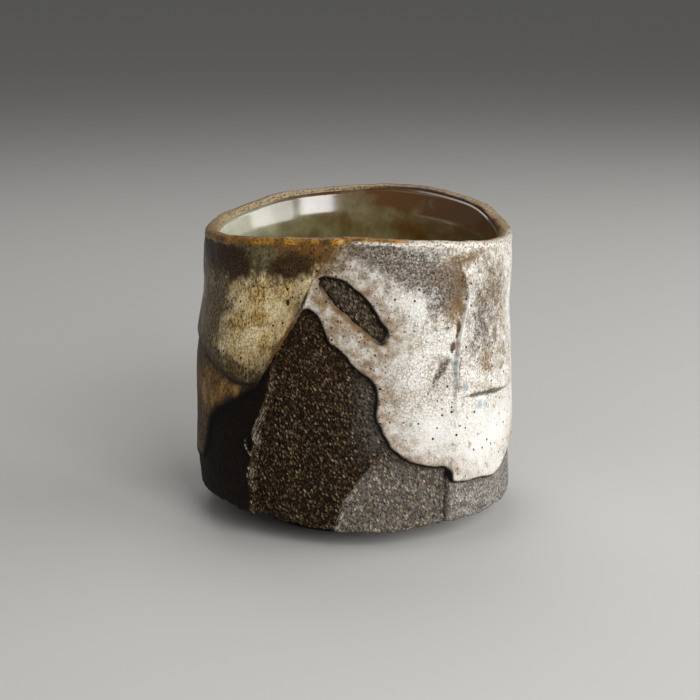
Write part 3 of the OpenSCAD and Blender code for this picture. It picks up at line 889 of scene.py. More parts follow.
# %% [markdown]
# ## The colours of the bare clay
# The fire coloured the clay by place: ash settled on the right panel and the low facet, the upper clay is
# rusty, and edges are scraped pale. Light is painted in too: the panel, the facet and the clay beside the
# white are lighter where they face the light, the scraped edge, its curl and the facet's edge carry a painted
# highlight, the clay beside the glaze is dark partly from iron and partly as painted shadow, and the crack
# and the clay left of the raised edge are painted darker as shade. It could be painted on by hand, but a
# script can't repeat that, so each is a field on the grid, made from the distances that the carving already
# uses.

# %% Fields of the clay
FACET_ASH_AND_LIGHT = 0.45
WINDOW_ASH = 0.06
BESIDE_WHITE_LIGHT = 0.48
WEAR_AND_HIGHLIGHT_MEAN = 0.8
WEAR_AND_HIGHLIGHT_PATCHES = (0.5, 0.8, 36)
CURL_HIGHLIGHT = 1.5
FACET_GRAINS_AND_GLINTS = 0.4
WINDOW_MORE_GRAINS = 0.35
RUST_MOST = 0.35
NEAR_STAIN_AND_SHADE = 0.85
NEAR_REACH = 0.4
FAR_STAIN_AND_SHADE = 0.35
FAR_REACH = 2.2
CRACK_SHADE = 0.7
CRACK_SHADE_WIDTH = 0.2
CRACK_SHADE_TOP = 0.22
LEFT_SHADE = 0.65
STAIN_AND_SHADE_SHARE = 0.9
ELSEWHERE = 0.1

# Each area is a product of soft steps, from where it is gone to where it is full
in_window = rise(inside_distance(around, up, window_outline), 0, 0.8)
on_facet = rise(past, 0, 0.8) * rise(share, 0.32, 0.2) * rise(over, 0.4, 0)
on_panel = rise(over, 0.1, 0.4) * rise(angle, 135, 75)
lit_beside_white = rise(around, -3, 6) * rise(share, 0.2, 0.4) * rise(share, 0.6, 0.5)
# The grey on the right panel and the low facet is partly ash and partly painted light where they face the
# light; beside the white it is painted light only
ash_and_light = on_panel + FACET_ASH_AND_LIGHT * on_facet + WINDOW_ASH * in_window + BESIDE_WHITE_LIGHT * lit_beside_white
# The scraped raised edge is paler clay with a painted highlight on it
scraped_and_lit = rise(beside, -0.2, 0.1) * rise(beside, 0.95, 0.15) * np.clip(burr_line, 0, 1)
# The facet's edge and the torn curl are painted highlights, and the facet gets more pale grains, partly as
# painted glints
facet_edge_highlight = bell(past, 0.35, 0.55) * rise(share, 0.16, 0.08)
wear_and_highlight = np.clip((scraped_and_lit + facet_edge_highlight) * (WEAR_AND_HIGHLIGHT_MEAN + rough(wall, WEAR_AND_HIGHLIGHT_PATCHES)), 0, 1) + CURL_HIGHLIGHT * curl
# Left of the raised edge the pale grains are taken away: the clay is smoother there and darker as painted
# shade
on_left = rise(beside, -0.1, -0.6) * rise(angle, -120, -100)
wear_and_highlight = wear_and_highlight - on_left * (1 - curl) + FACET_GRAINS_AND_GLINTS * on_facet + WINDOW_MORE_GRAINS * in_window
rust = RUST_MOST * rise(share, 0.38, 0.6) * (1 - in_window)
gap = np.clip(bare_gap, 0, None)
# Darker next to the glaze, partly iron stain and partly painted shadow of the glaze's edge; darker in the
# crack and left of the raised edge as painted shade
stain_and_shade = NEAR_STAIN_AND_SHADE * np.exp(-gap / NEAR_REACH) + FAR_STAIN_AND_SHADE * rise(over, 0.5, 0) * np.exp(-gap / FAR_REACH)
stain_and_shade = stain_and_shade + CRACK_SHADE * bell(over, 0, CRACK_SHADE_WIDTH) * (share < CRACK_SHADE_TOP)
stain_and_shade = stain_and_shade + LEFT_SHADE * rise(from_ridge, -0.2, -1) * rise(angle, -80, -70) - curl
stain_and_shade = STAIN_AND_SHADE_SHARE * np.clip(stain_and_shade, 0, 1)


def over_rings(values):
    """A field of the outside, carried on evenly over the other rings and the two ends."""
    below = np.full(underside.shape[:2], values[:3].mean())
    above = np.full((len(lip) + len(inside), values.shape[1]), ELSEWHERE)
    return np.append(np.concatenate([below, values, above]).ravel(), [ELSEWHERE, ELSEWHERE])


clay_fields = {key: over_rings(values) for key, values in zip(CLAY_KEYS, (ash_and_light, stain_and_shade, wear_and_highlight, rust))}
print("mean of the fields:", {key: float(values.mean().round(2)) for key, values in clay_fields.items()})

# %% Piece: the clay body
add_piece("clay_body_wall", clay_points, clay_faces, clay_fields, stoneware, "clay_body")

# %% [markdown]
# ## The foot ring
# The foot was luted on as a coil and trimmed, so it is a plain low ring with slightly drawn-in sides. It is
# a profile carried round the axis, with small lumps and the finish of the body. Blender's Screw tool could
# turn it too, but an array of rings takes the lumps at once. The profile is so plain that eleven points are
# enough.

# %% Piece: the foot ring
FOOT_WALL = 5.0
FOOT_DRAFT = 0.8
FOOT_CORNER = 0.5
FOOT_BEDDED = 0.05
FOOT_STAND = 0.1
FOOT_ANGLES = np.linspace(-180, 180, 360, endpoint=False)
FOOT_ROUGHNESS = (0.08, 0.7, 41)
FOOT_FIELD = 0.15
stand_out = FOOT_RADIUS - FOOT_DRAFT
stand_in = stand_out - FOOT_WALL
foot_middle = stand_out - FOOT_WALL / 2
foot_profile = np.array([
    (stand_in - FOOT_DRAFT, FOOT_HEIGHT), (stand_in - FOOT_DRAFT / 2, FOOT_HEIGHT / 2),
    (stand_in, FOOT_CORNER), (stand_in + FOOT_CORNER, 0), (foot_middle, 0), (stand_out - FOOT_CORNER, 0),
    (stand_out, FOOT_CORNER), (stand_out + 0.2, FOOT_HEIGHT * 0.3), (stand_out + 0.5, FOOT_HEIGHT * 0.65),
    (FOOT_RADIUS, FOOT_HEIGHT), (foot_middle, FOOT_HEIGHT + FOOT_BEDDED)])
foot_angle, foot_step = np.meshgrid(FOOT_ANGLES, np.arange(len(foot_profile)))
foot_radius, foot_level = np.moveaxis(foot_profile[foot_step], -1, 0)
foot_rough = rough(polar(foot_angle, foot_radius, foot_level), FOOT_ROUGHNESS) * (foot_level > FOOT_STAND)
foot_coil = polar(foot_angle, foot_radius + foot_rough, foot_level)
foot_faces = ring_faces(*foot_angle.shape, closed=True)
foot_fields = {key: np.full(foot_angle.shape, FOOT_FIELD) for key in CLAY_KEYS}
add_piece("foot_ring_coil", foot_coil, [foot_faces], foot_fields, foot_stoneware, "foot_ring")

# %% [markdown]
# ## Poured glaze
# The pours are a thick feldspar glaze, white where it is thick and tan where it is thin enough for the iron
# in the clay to come through. It crazed in cooling into small cells, with a few wider cracks, and gas left
# pinholes with dark specks. The fire stained it grey, ochre and olive, in peppery patches, and tan in a
# halo along its edge. A dark line along the free edge is partly iron and partly painted shadow under the
# glaze's roll. An image could show all that from one side only, so the finish is put together from noise
# and cells in space, and fields on the piece say where each stain and painted shade lies.

# %% Patterns: crackle and specks
CRACKLE_SHAKE = 0.7 * MM
# Hairlines are far thinner than a pixel, so crackle and cracks are drawn wider than they are
CRACKLE_SIZE = 0.66
WIDE_CRACK_SIZE = 3.2
# Size in millimetres, detail, and whether the pattern is drawn out down the wall
GLAZE_NOISES = {"cloud": (4.5, 5.0, False), "ragged": (1.6, 6.0, True), "mottle": (0.42, 5.0, True),
                "shake": (0.9, 2.0, False)}
# Size in millimetres, the share of cells without a dot, and the widest reach in a cell
GLAZE_DOTS = {"speck": (0.9, 0.66, 0.3), "grain": (0.5, 0.45, 0.3), "pepper": (0.55, 0.45, 0.42)}


def glaze_marks(tree, place, grey, streak):
    """Noise, crackle and dots: cells with dark borders, and dots in cells whose random number is large."""
    drawn = add(tree, "Mapping", {"Vector": place, "Scale": (1, 1, streak)}, vector_type="TEXTURE")
    marks = {}
    for key, (size, detail, long) in GLAZE_NOISES.items():
        where = drawn if long else place
        marks[key] = add(tree, "TexNoise", {"Vector": where, "Scale": per_metre(size), "Detail": detail})
    shaken = add(tree, "VectorMath", {0: marks["shake"].node.outputs["Color"], 1: (CRACKLE_SHAKE,) * 3},
                 operation="MULTIPLY")
    moved = add(tree, "VectorMath", {0: place, 1: shaken}, operation="ADD")
    craze = add(tree, "TexVoronoi", {"Vector": moved, "Scale": per_metre(CRACKLE_SIZE)},
                feature="DISTANCE_TO_EDGE")
    craze = add(tree, "Math", {0: grey, 1: -0.05, 2: craze}, operation="MULTIPLY_ADD")
    marks["cracks"] = add(tree, "MapRange", {"Value": craze, "From Min": 0.14, "From Max": 0.01})
    wide = add(tree, "TexVoronoi", {"Vector": moved, "Scale": per_metre(WIDE_CRACK_SIZE)},
               feature="DISTANCE_TO_EDGE")
    wide = add(tree, "MapRange", {"Value": wide, "From Min": 0.035, "From Max": 0.01})
    some = add(tree, "MapRange", {"Value": marks["cloud"], "From Min": 0.42, "From Max": 0.66, "To Max": 0.5})
    marks["wide"] = add(tree, "Math", {0: wide, 1: some}, operation="MULTIPLY")
    for key, (size, rare, widest) in GLAZE_DOTS.items():
        distance = add(tree, "TexVoronoi", {"Vector": place, "Scale": per_metre(size)}, feature="F1")
        chance = add(tree, "SeparateColor", {0: distance.node.outputs["Color"]})
        reach = add(tree, "MapRange", {"Value": chance, "From Min": rare, "To Max": widest})
        marks[key] = add(tree, "Math", {0: distance, 1: reach}, operation="LESS_THAN")
    return marks


print("dots in the glaze:", ", ".join(GLAZE_DOTS))

# %% Shares of the colours in the glaze
STAINS = {"olive": "olive", "ochre": "ochre", "grey": "grey", "blue": "blue", "iron": "iron", "soft": "rust"}
EVEN_STAINS = ("iron", "soft", "blue")


def glaze_shares(tree, fields, marks, look):
    """The share of each colour, lowest layer first: noise cut off at two levels, times the fields."""
    cloud, ragged, mottle = (marks[key] for key in ("cloud", "ragged", "mottle"))
    clouded = add(tree, "MapRange", {"Value": cloud, "From Min": 0.4, "From Max": 0.66})
    mottled = add(tree, "MapRange", {"Value": mottle, "From Min": 0.46, "From Max": 0.6, "To Max": 0.9})
    clean = add(tree, "MapRange", {"Value": cloud, "From Min": 0.38, "From Max": 0.6, "To Min": 0.35})
    mottled = add(tree, "Math", {0: mottled, 1: clean}, operation="MULTIPLY")
    crack = add(tree, "MapRange", {"Value": ragged, "From Min": 0.36, "From Max": 0.64,
                                   "To Min": look["crack_least"], "To Max": look["crack_most"]})
    crack = add(tree, "Math", {0: fields["grey"], 1: 0.2, 2: crack}, operation="MULTIPLY_ADD")
    crack = add(tree, "Math", {0: marks["cracks"], 1: crack}, operation="MULTIPLY", use_clamp=True)
    crack = add(tree, "Math", {0: crack, 1: marks["wide"]}, operation="MAXIMUM")
    # The clean core of a thick pour has few of these marks; along the crease that clean band is also a
    # painted highlight
    plain = add(tree, "MapRange", {"Value": fields["core"], "To Min": 1.0, "To Max": 0.1})
    halo = add(tree, "MapRange", {"Value": fields["edge"], "From Min": look["halo_width"], "From Max": 1.2})
    patchy = add(tree, "MapRange", {"Value": ragged, "From Min": 0.38, "From Max": 0.62, "To Min": 0.35})
    halo = add(tree, "Math", {0: halo, 1: patchy}, operation="MULTIPLY")
    less = {"cloud": clouded, "mottle": mottled, "tan": halo, "grain": marks["grain"], "crack": crack}
    less = {key: add(tree, "Math", {0: mark, 1: plain}, operation="MULTIPLY") for key, mark in less.items()}
    speckled = add(tree, "MapRange", {"Value": mottle, "From Min": 0.4, "From Max": 0.55,
                                      "To Min": 1 - look["speckle"]})
    stains = {}
    for key, tone in STAINS.items():
        edged = add(tree, "Math", {0: fields[key], 1: ragged}, operation="ADD")
        edged = add(tree, "MapRange", {"Value": edged, "From Min": 0.64, "From Max": 1.12})
        even = 1.0 if key in EVEN_STAINS else speckled
        stains[tone] = add(tree, "Math", {0: edged, 1: even}, operation="MULTIPLY")
    stained = add(tree, "Math", {0: fields["grey"], 1: fields["ochre"]}, operation="MAXIMUM")
    stained = add(tree, "Math", {0: stained, 1: less["tan"]}, operation="MAXIMUM")
    pepper = add(tree, "MapRange", {"Value": stained, "From Min": 0.1, "From Max": 0.6, "To Max": 0.85})
    pepper = add(tree, "Math", {0: marks["pepper"], 1: pepper}, operation="MULTIPLY")
    # A dark line along the free edge, partly iron where the glaze thins and partly painted shadow under its
    # roll; where the edge is soft there is none
    sharp = add(tree, "Math", {0: 1.0, 1: fields["soft"]}, operation="SUBTRACT")
    line = add(tree, "MapRange", {"Value": fields["edge"], "From Min": look["line_width"], "From Max": 0.2})
    line = add(tree, "Math", {0: line, 1: sharp}, operation="MULTIPLY")
    below = {key: less[key] for key in ("cloud", "mottle", "tan")}
    above = {"grain": less["grain"], "crack": less["crack"], "pepper": pepper, "speck": marks["speck"],
             "line": line}
    return {**below, **stains, **above}


print("stains in the glaze:", ", ".join(STAINS.values()))

# %% Finish: crazed feldspar glaze
GLAZE_KEYS = ("edge", "core", *STAINS)


def crazed_glaze(name, tones, look):
    """Crazed, pinholed glaze: tones gives its colours, and the piece's fields say where each one lies."""
    material, tree, shader, place = new_material(name)
    fields = {key: add(tree, "Attribute", out="Fac", attribute_name=key) for key in GLAZE_KEYS}
    marks = glaze_marks(tree, place, fields["grey"], look["streak"])
    shares = glaze_shares(tree, fields, marks, look)
    # Glossy where it melted well, duller in clouds and along the dry line at its edge
    dull = add(tree, "MapRange", {"Value": marks["cloud"], "From Min": 0.3, "From Max": 0.7,
                                  "To Min": look["roughness"] - 0.08, "To Max": look["roughness"] + 0.1})
    dull = add(tree, "Math", {0: shares["line"], 1: 0.6, 2: dull}, operation="MULTIPLY_ADD", use_clamp=True)
    height = marks["mottle"]
    for key, depth in [("cracks", -0.3), ("speck", -1.0), ("grain", -0.3)]:
        height = add(tree, "Math", {0: marks[key], 1: depth, 2: height}, operation="MULTIPLY_ADD")
    plug(tree, shader, {
        "Base Color": paint(tree, tones["base"], [(socket, tones[key]) for key, socket in shares.items()]),
        "Roughness": dull,
        "Normal": add(tree, "Bump", {"Height": height, "Strength": 0.5, "Distance": 0.18 * MM}),
        "IOR": 1.5, "Specular IOR Level": 0.32})
    return material


# The line tone is the dark edge line, partly painted shadow under the roll
WHITE_TONES = {"base": "#edebe5", "cloud": "#dfd9ce", "mottle": "#a0927d", "tan": "#927757",
               "ochre": "#876834", "olive": "#6c5d39", "grey": "#3a2c1b", "blue": "#93adba",
               "iron": "#5b3d10", "rust": "#7e6039", "grain": "#806c56", "crack": "#786959",
               "pepper": "#2a1b0e", "speck": "#24160c", "line": "#160d06"}
CREAM_TONES = {**WHITE_TONES, "base": "#fbe6b4", "cloud": "#d3b069", "mottle": "#6a4b16", "tan": "#5f4515",
               "ochre": "#74490f", "olive": "#3f2e0b", "pepper": "#2a1b06", "grey": "#6b694c",
               "iron": "#281401", "rust": "#6a3d0e", "grain": "#5f4726", "crack": "#57421f",
               "line": "#140d05"}
SKIRT_TONES = {**CREAM_TONES, "base": "#bb9150", "cloud": "#87622c", "mottle": "#38270f", "tan": "#3d2a0e",
               "olive": "#291a05", "line": "#100903"}
WHITE_LOOK = {"roughness": 0.38, "streak": 1.0, "line_width": 0.6, "halo_width": 7.0, "crack_least": 0.12,
              "crack_most": 0.65, "speckle": 0.5}
CREAM_LOOK = {"roughness": 0.36, "streak": 1.6, "line_width": 0.9, "halo_width": 4.0, "crack_least": 0.25,
              "crack_most": 0.7, "speckle": 0.3}
SKIRT_LOOK = {"roughness": 0.6, "streak": 1.6, "line_width": 1.3, "halo_width": 2.2, "crack_least": 0.2,
              "crack_most": 0.7, "speckle": 0.4}
white_glaze = crazed_glaze("white_feldspar_glaze", WHITE_TONES, WHITE_LOOK)
cream_glaze = crazed_glaze("cream_feldspar_glaze", CREAM_TONES, CREAM_LOOK)
skirt_glaze = crazed_glaze("thin_tan_glaze", SKIRT_TONES, SKIRT_LOOK)
print("finishes:", white_glaze.name, cream_glaze.name, skirt_glaze.name)

# %% [markdown]
# ## Where the stains lie
# Iron, smoke and ash stained the glaze in soft patches: brown and olive under the lip, a grey band across
# the top of the white, ochre in the crease, a little blue where it pooled. Some daubs are partly painted
# shade: a dark band under the cream's lower edge, where its roll casts a shadow, the cream's darker left
# side, and the groove under the ledge on the right panel. Each is a soft daub, a tilted oval that fades
# outwards, given by its middle, its half sizes, its tilt and its strength. They could be painted in by
# hand, but numbers are easier to move and give the same stains each run.

# %% Daubs of colour, as angle, height, half width, half height, tilt and strength
DAUBS = {
    "soft": [
        (-11.6, 49.2, 0.9, 1.3, 0, 0.9), (-8, 47, 1.4, 0.9, -35, 0.9), (-3.5, 45, 1.8, 0.8, -35, 0.9),
        (1, 43, 1.8, 0.7, -30, 0.9), (5.5, 41.2, 1.8, 0.6, -15, 0.9), (10.6, 41, 0.6, 0.6, 0, 0.7),
        (-27.4, 39.6, 0.32, 7, -31, 0.95)],
    "iron": [
        (-64, 54.6, 8, 4, 0, 0.8), (-48, 53.6, 4.4, 3.4, 0, 1.0), (-25, 54.1, 5.2, 2.6, 14, 1.0),
        # These three run along the cream's lower edge: a dark band, partly glaze pooled there and partly
        # painted shadow under the cream's roll
        (-44, 31.4, 5, 0.7, -4, 0.9), (-57, 33.4, 5, 0.7, -12, 0.9), (-72, 35.9, 6, 0.8, -5, 0.9),
        (-80, 57, 14, 3, 0, 0.6), (42, 54.6, 4.2, 0.5, 8, 0.6), (39, 50.8, 1.1, 1.8, -6, 0.75),
        (38.2, 47.2, 1.3, 2, -10, 0.7), (38.3, 42.3, 0.5, 1.2, -8, 1.2), (37.3, 40.7, 0.35, 0.6, -8, 0.9),
        (35.6, 38.7, 0.55, 1.0, -20, 1.2), (-9, 56, 1.0, 2.6, -35, 0.5), (-24.9, 47.5, 0.32, 0.5, 20, 1.6)],
    "grey": [
        (-36.5, 55, 3.4, 3.2, 0, 0.6), (-44, 57, 6, 1.6, 0, 0.4), (6, 57.3, 4.4, 1.1, -8, 1.3),
        (16, 54.8, 5.6, 3, -20, 0.95), (25, 53, 5.4, 3.2, -20, 0.85), (34, 50, 3.4, 4, 0, 0.85),
        (29, 46.5, 2.4, 3, 0, 0.4), (30.5, 34.4, 0.9, 3.2, -35, 0.8), (36.6, 34, 0.6, 4, -4, 0.7),
        (48, 41, 4, 7, 0, 0.5), (56, 48, 6, 8, 0, 0.45), (20, 56, 22, 3, 0, 0.3),
        # These two lie in the groove under the ledge: partly grey glaze and partly painted shade
        (47, 28.9, 4.5, 0.5, -1, 0.8), (57, 28.1, 4.5, 0.5, -4, 0.8)],
    "ochre": [
        (-17, 57.4, 6, 1.8, 10, 0.95), (-45, 58.6, 30, 1.0, 0, 0.9), (-30, 57.8, 14, 1.2, 0, 0.5),
        (-7.5, 43.8, 2.4, 2.4, -40, 0.5), (-12.5, 47.6, 1.6, 1.4, 0, 0.7), (50.5, 34.5, 2.8, 3, 0, 0.75),
        (52, 48, 3.6, 7, 0, 0.5), (62, 45, 4.5, 9, 0, 0.45), (39.6, 49, 1.1, 4, -8, 0.85),
        (37.4, 47.4, 2.4, 4, -10, 0.85), (41, 54.6, 5.4, 1.3, 8, 1.0), (33, 52, 4, 2.4, -20, 0.6),
        (37, 36.5, 0.4, 5, -3, 0.7), (-9, 57, 0.6, 4, -32, 0.7), (-15.5, 51.8, 0.5, 3, -30, 0.6),
        # The daub at -68 darkens the cream's left side, partly as painted shade
        (18, 54.5, 5, 2, -15, 0.4), (-68, 44, 5, 9, 0, 0.3), (120, 45, 25, 14, 0, 0.35),
        (-120, 48, 25, 12, 0, 0.4)],
    "olive": [
        # The daubs at -58, -70 and -100 darken the cream's left side, partly as painted shade; those at -56
        # and -42 near 33 mm lie along its lower edge, partly painted shadow under its roll
        (-58, 46, 5, 7, 0, 0.7), (-70, 42, 7, 13, 0, 0.95), (-56, 34.4, 10, 2.6, -12, 0.9),
        (-44, 55.8, 24, 4.2, 0, 1.0), (-42, 32.6, 6, 2.2, 0, 0.85), (-74, 19, 9, 7, 0, 1.0),
        (-61, 19, 2.5, 5, -12, 0.7), (-100, 46, 14, 14, 0, 0.5), (38.8, 49, 1.3, 3.2, -6, 0.8),
        (36.4, 48.6, 2.2, 3.8, -12, 0.75), (36.5, 45.6, 1.6, 1.8, -20, 0.6), (60, 36, 6, 5, 0, 0.4),
        # These two lie in the groove under the ledge: partly olive glaze and partly painted shade
        (47, 28.9, 5, 0.35, -1, 0.95), (58, 28, 5, 0.4, -4, 0.95)],
    "blue": [
        (36, 35, 0.6, 2.6, 0, 0.35), (39.4, 31, 0.6, 1.0, 0, 0.6), (46.5, 27, 0.8, 1.2, 0, 0.6),
        (49.5, 26.2, 0.6, 0.9, 0, 0.5)],
    "core": [
        (54, 13.6, 9, 2.6, 0, 0.85), (28, 23, 8, 4.5, 0, 0.75), (48, 19.5, 9, 4.5, 0, 0.9),
        (62, 21, 6, 5, 0, 0.8), (-26, 43.5, 3.2, 5, -20, 0.55)],
    "seam": [
        (-16, 52.4, 0.9, 2.2, -30, 0.9), (-12, 55, 0.9, 2.2, -35, 0.9), (-8, 58, 1.2, 2.5, -30, 0.9)],
}
FURTHEST_EDGE = 8
SEAM_SOFTNESS = 2


def daubs(angle, height, spots):
    """Soft daubs: what is left clear is the product over the ovals of one less strength times a bell."""
    clear = np.ones(np.broadcast(angle, height).shape)
    for spot_angle, spot_height, half_w, half_h, tilt, strength in spots:
        x = (angle - spot_angle) * MM_PER_DEGREE
        y = height - spot_height
        lean = math.radians(tilt)
        u = (x * math.cos(lean) + y * math.sin(lean)) / half_w
        v = (y * math.cos(lean) - x * math.sin(lean)) / half_h
        clear = clear * (1 - strength * np.exp(-(u * u + v * v)))
    return 1 - clear


def glaze_fields(angle, height, inside):
    """The fields that place colour on a coat: its distance from the free edge, and the daubs."""
    fields = {key: daubs(angle, height, spots) for key, spots in DAUBS.items()}
    fields["edge"] = np.clip(inside, 0, FURTHEST_EDGE) + SEAM_SOFTNESS * fields.pop("seam")
    return fields


print("daubs:", {key: len(spots) for key, spots in DAUBS.items()})

# %% [markdown]
# ## The relief of the pours
# A pour is thin at the lip, thickest lower down and never level. On the crease it drew together into a fine
# crest, it half filled the step below, and on the right panel it left a ledge over a groove. At the back
# the white laps over the cream. All of it is a height over the clay, so the coat stays fused to what it
# covers.

# %% Thickness and relief of the pours
POUR_THICKNESS = 0.9
POUR_AT_LIP = 0.35
FULL_POUR_DROP = 9.0
FULL_RUN_DROP = 4.0
SKIRT_THICKNESS = 0.35
POUR_RUNS = (0.1, 3.6, 51)
RUN_LENGTH = 2.5
RUN_RADIUS = 31.0
SEAM_LAP = 0.3
LAP_ANGLES = (187, 193)
WIDE_RIPPLE = (0.05, 2.2, 52)
FINE_RIPPLE = (0.03, 0.9, 53)
GLAZE_CREST = 0.45
GLAZE_CREST_PLACE = 0.45
GLAZE_CREST_WIDTH = 0.22
FILL_WIDTH = 4.5
FILL_START = 2.0
LEDGE_HEIGHT = 0.45
LEDGE_FADE = 3.0
# Shares of the height, or millimetres past a line or an edge, where a form is gone and where it is full
RIPPLE_STEP = (0, 1.5)
CREST_FOOT = (0.45, 0.51)
CREST_HEAD = (0.93, 0.87)
FILL_HEAD = (0.48, 0.38)
FILL_STEP = (0, 2)
LEDGE_STEP = (0, 0.6)
LEDGE_LEFT = (1, 3)
LEDGE_RIGHT = (25, 19)
GROOVE_DEPTH = 0.3
GROOVE_WIDTH = 0.35
GROOVE_PLACE = -0.2
# Millimetres past the crease, and the height of the groove
GROOVE_LINE = [(0, 29.8), (2, 29.2), (4, 28.8), (9, 28.5), (16, 27.6), (25, 27)]


def pour_thickness(angle, share):
    """Thickness of a pour away from its edge: full low down, thinner up at the lip, with slow runs."""
    drop = rim_height(angle) - wall_height(angle, share)
    runs = rough(polar(angle, RUN_RADIUS, wall_height(angle, share) / RUN_LENGTH), POUR_RUNS)
    even = POUR_THICKNESS * mix(POUR_AT_LIP, 1.0, rise(drop, 0, FULL_POUR_DROP))
    return even + runs * rise(drop, 0, FULL_RUN_DROP)


def white_thickness(angle, share):
    """Thickness of the white pour, which laps over the cream and the thin coat at the back."""
    return pour_thickness(angle, share) + SEAM_LAP * rise(angle, *LAP_ANGLES)


def skirt_thickness(angle, share):
    """Thickness of the thin coat, the same all over."""
    return SKIRT_THICKNESS + 0 * angle


def pour_relief(angle, share, height, place, inside):
    """Height over an even coat: ripples, the crest on the crease, the filled step, the ledge and groove."""
    over = past_line(CREASE_LINE, angle, share)
    ripple = (rough(place, WIDE_RIPPLE) + rough(place, FINE_RIPPLE)) * rise(inside, *RIPPLE_STEP)
    crest = GLAZE_CREST * bell(over, GLAZE_CREST_PLACE, GLAZE_CREST_WIDTH)
    crest = crest * rise(share, *CREST_FOOT) * rise(share, *CREST_HEAD)
    filled = panel_height(over + FILL_START, share, FILL_WIDTH) - panel_height(over, share, CUT_STEP)
    filled = filled * rise(share, *FILL_HEAD) * rise(inside, *FILL_STEP)
    above = height - curve_value(GROOVE_LINE, over)
    ledge = LEDGE_HEIGHT * rise(above, *LEDGE_STEP) * np.exp(-np.clip(above, 0, None) / LEDGE_FADE)
    ledge = ledge - GROOVE_DEPTH * bell(above, GROOVE_PLACE, GROOVE_WIDTH)
    return ripple + crest + filled + rise(over, *LEDGE_LEFT) * rise(over, *LEDGE_RIGHT) * ledge


low_pour = pour_thickness(np.array(60.0), np.array(0.3))
print("the pour is", float(low_pour.round(2)), "mm thick low on the right")

# %% [markdown]
# ## The pours
# Each coat is made alone, as the potter poured it: a grid over the part of the wall that it covers, cut off
# just outside its outline. A plane with an image would be quicker, but it would have no edge to catch the
# light. On the crest the glaze stayed clean and nearly white, and that clean band is also a painted
# highlight along the crest.

# %% Pieces: the white pour, the cream pour and the thin coat
ROLL_WIDTH = 0.9
SOFT_THINNING = 0.6
UNDER_CLAY = 0.7
KEPT_OUTSIDE = 0.6
CREST_CLEARING = 0.85
CLEAN_LIT_PLACE = 0.5
CLEAN_LIT_WIDTH = 0.28
CLEAN_LIT_FOOT = (0.5, 0.56)
CLEAN_LIT_HEAD = (0.9, 0.84)
CLEARED = ("grey", "ochre", "olive", "iron")


def pour(name, coat, angles, shares, thickness_of, material, node):
    """A coat on the wall as a closed shell, kept only near and inside its outline."""
    angle, share = np.meshgrid(angles, shares)
    inside = coat_inside(coat, angle, share)
    form = form_radius(angle, share)
    height = wall_height(angle, share)
    fields = glaze_fields(angle, height, inside)
    thickness = thickness_of(angle, share) * roll(inside, ROLL_WIDTH) * (1 - SOFT_THINNING * fields["soft"])
    relief = pour_relief(angle, share, height, polar(angle, form, height), inside)
    outer = polar(angle, form + thickness + relief, height)
    inner = polar(angle, form - UNDER_CLAY, height)
    near = inside > -KEPT_OUTSIDE
    keep = near[:-1, :-1] | near[1:, :-1] | near[:-1, 1:] | near[1:, 1:]
    points, faces, used = closed_shell(outer, inner, keep)
    # A clean band along the crest: partly glaze that stayed clean and partly a painted highlight on the crest
    over = past_line(CREASE_LINE, angle, share)
    clean_lit_crest = bell(over, CLEAN_LIT_PLACE, CLEAN_LIT_WIDTH) * rise(share, *CLEAN_LIT_FOOT) * rise(share, *CLEAN_LIT_HEAD)
    fields["core"] = np.maximum(fields["core"], clean_lit_crest)
    for key in CLEARED:
        fields[key] = fields[key] * (1 - CREST_CLEARING * clean_lit_crest)
    fields = {key: values.ravel()[used] for key, values in fields.items()}
    add_piece(name, points, faces, fields, material, node)


WHITE_ANGLES = np.append(stretches((-23, 30, 118), (30, 46, 80), (46, 80, 62), (80, SEAM_ANGLE, 56)),
                         SEAM_ANGLE)
WHITE_SHARES = np.append(stretches((0.1, 1, 150)), 1)
CREAM_ANGLES = np.append(stretches((-168, -90, 60), (-90, -2, 190)), -2)
CREAM_SHARES = np.append(stretches((0.44, 1, 95)), 1)
SKIRT_ANGLES = np.append(stretches((-168, -90, 60), (-90, -33, 120)), -33)
SKIRT_SHARES = np.append(stretches((0.1, 0.64, 90)), 0.64)
pour("white_pour", "white", WHITE_ANGLES, WHITE_SHARES, white_thickness, white_glaze, "right_glaze")
pour("cream_pour", "cream", CREAM_ANGLES, CREAM_SHARES, pour_thickness, cream_glaze, "left_glaze")
pour("thin_skirt_coat", "skirt", SKIRT_ANGLES, SKIRT_SHARES, skirt_thickness, skirt_glaze, "skirt_glaze")

# %% [markdown]
# ## The glaze of the lip
# Over the lip the glaze ran thin and the iron came through, ochre to brown, beige at the back and paler on
# the right, where the white pour reaches up. It is freckled and half glossy. Noise added to a field gives
# each patch of colour a ragged edge, which a plain field wouldn't have.

# %% Finish: iron glaze of the lip
LIP_TINTS = {"tan": "#b49d76", "dark": "#3a2807", "pale": "#ddd3c5", "olive": "#54481f"}


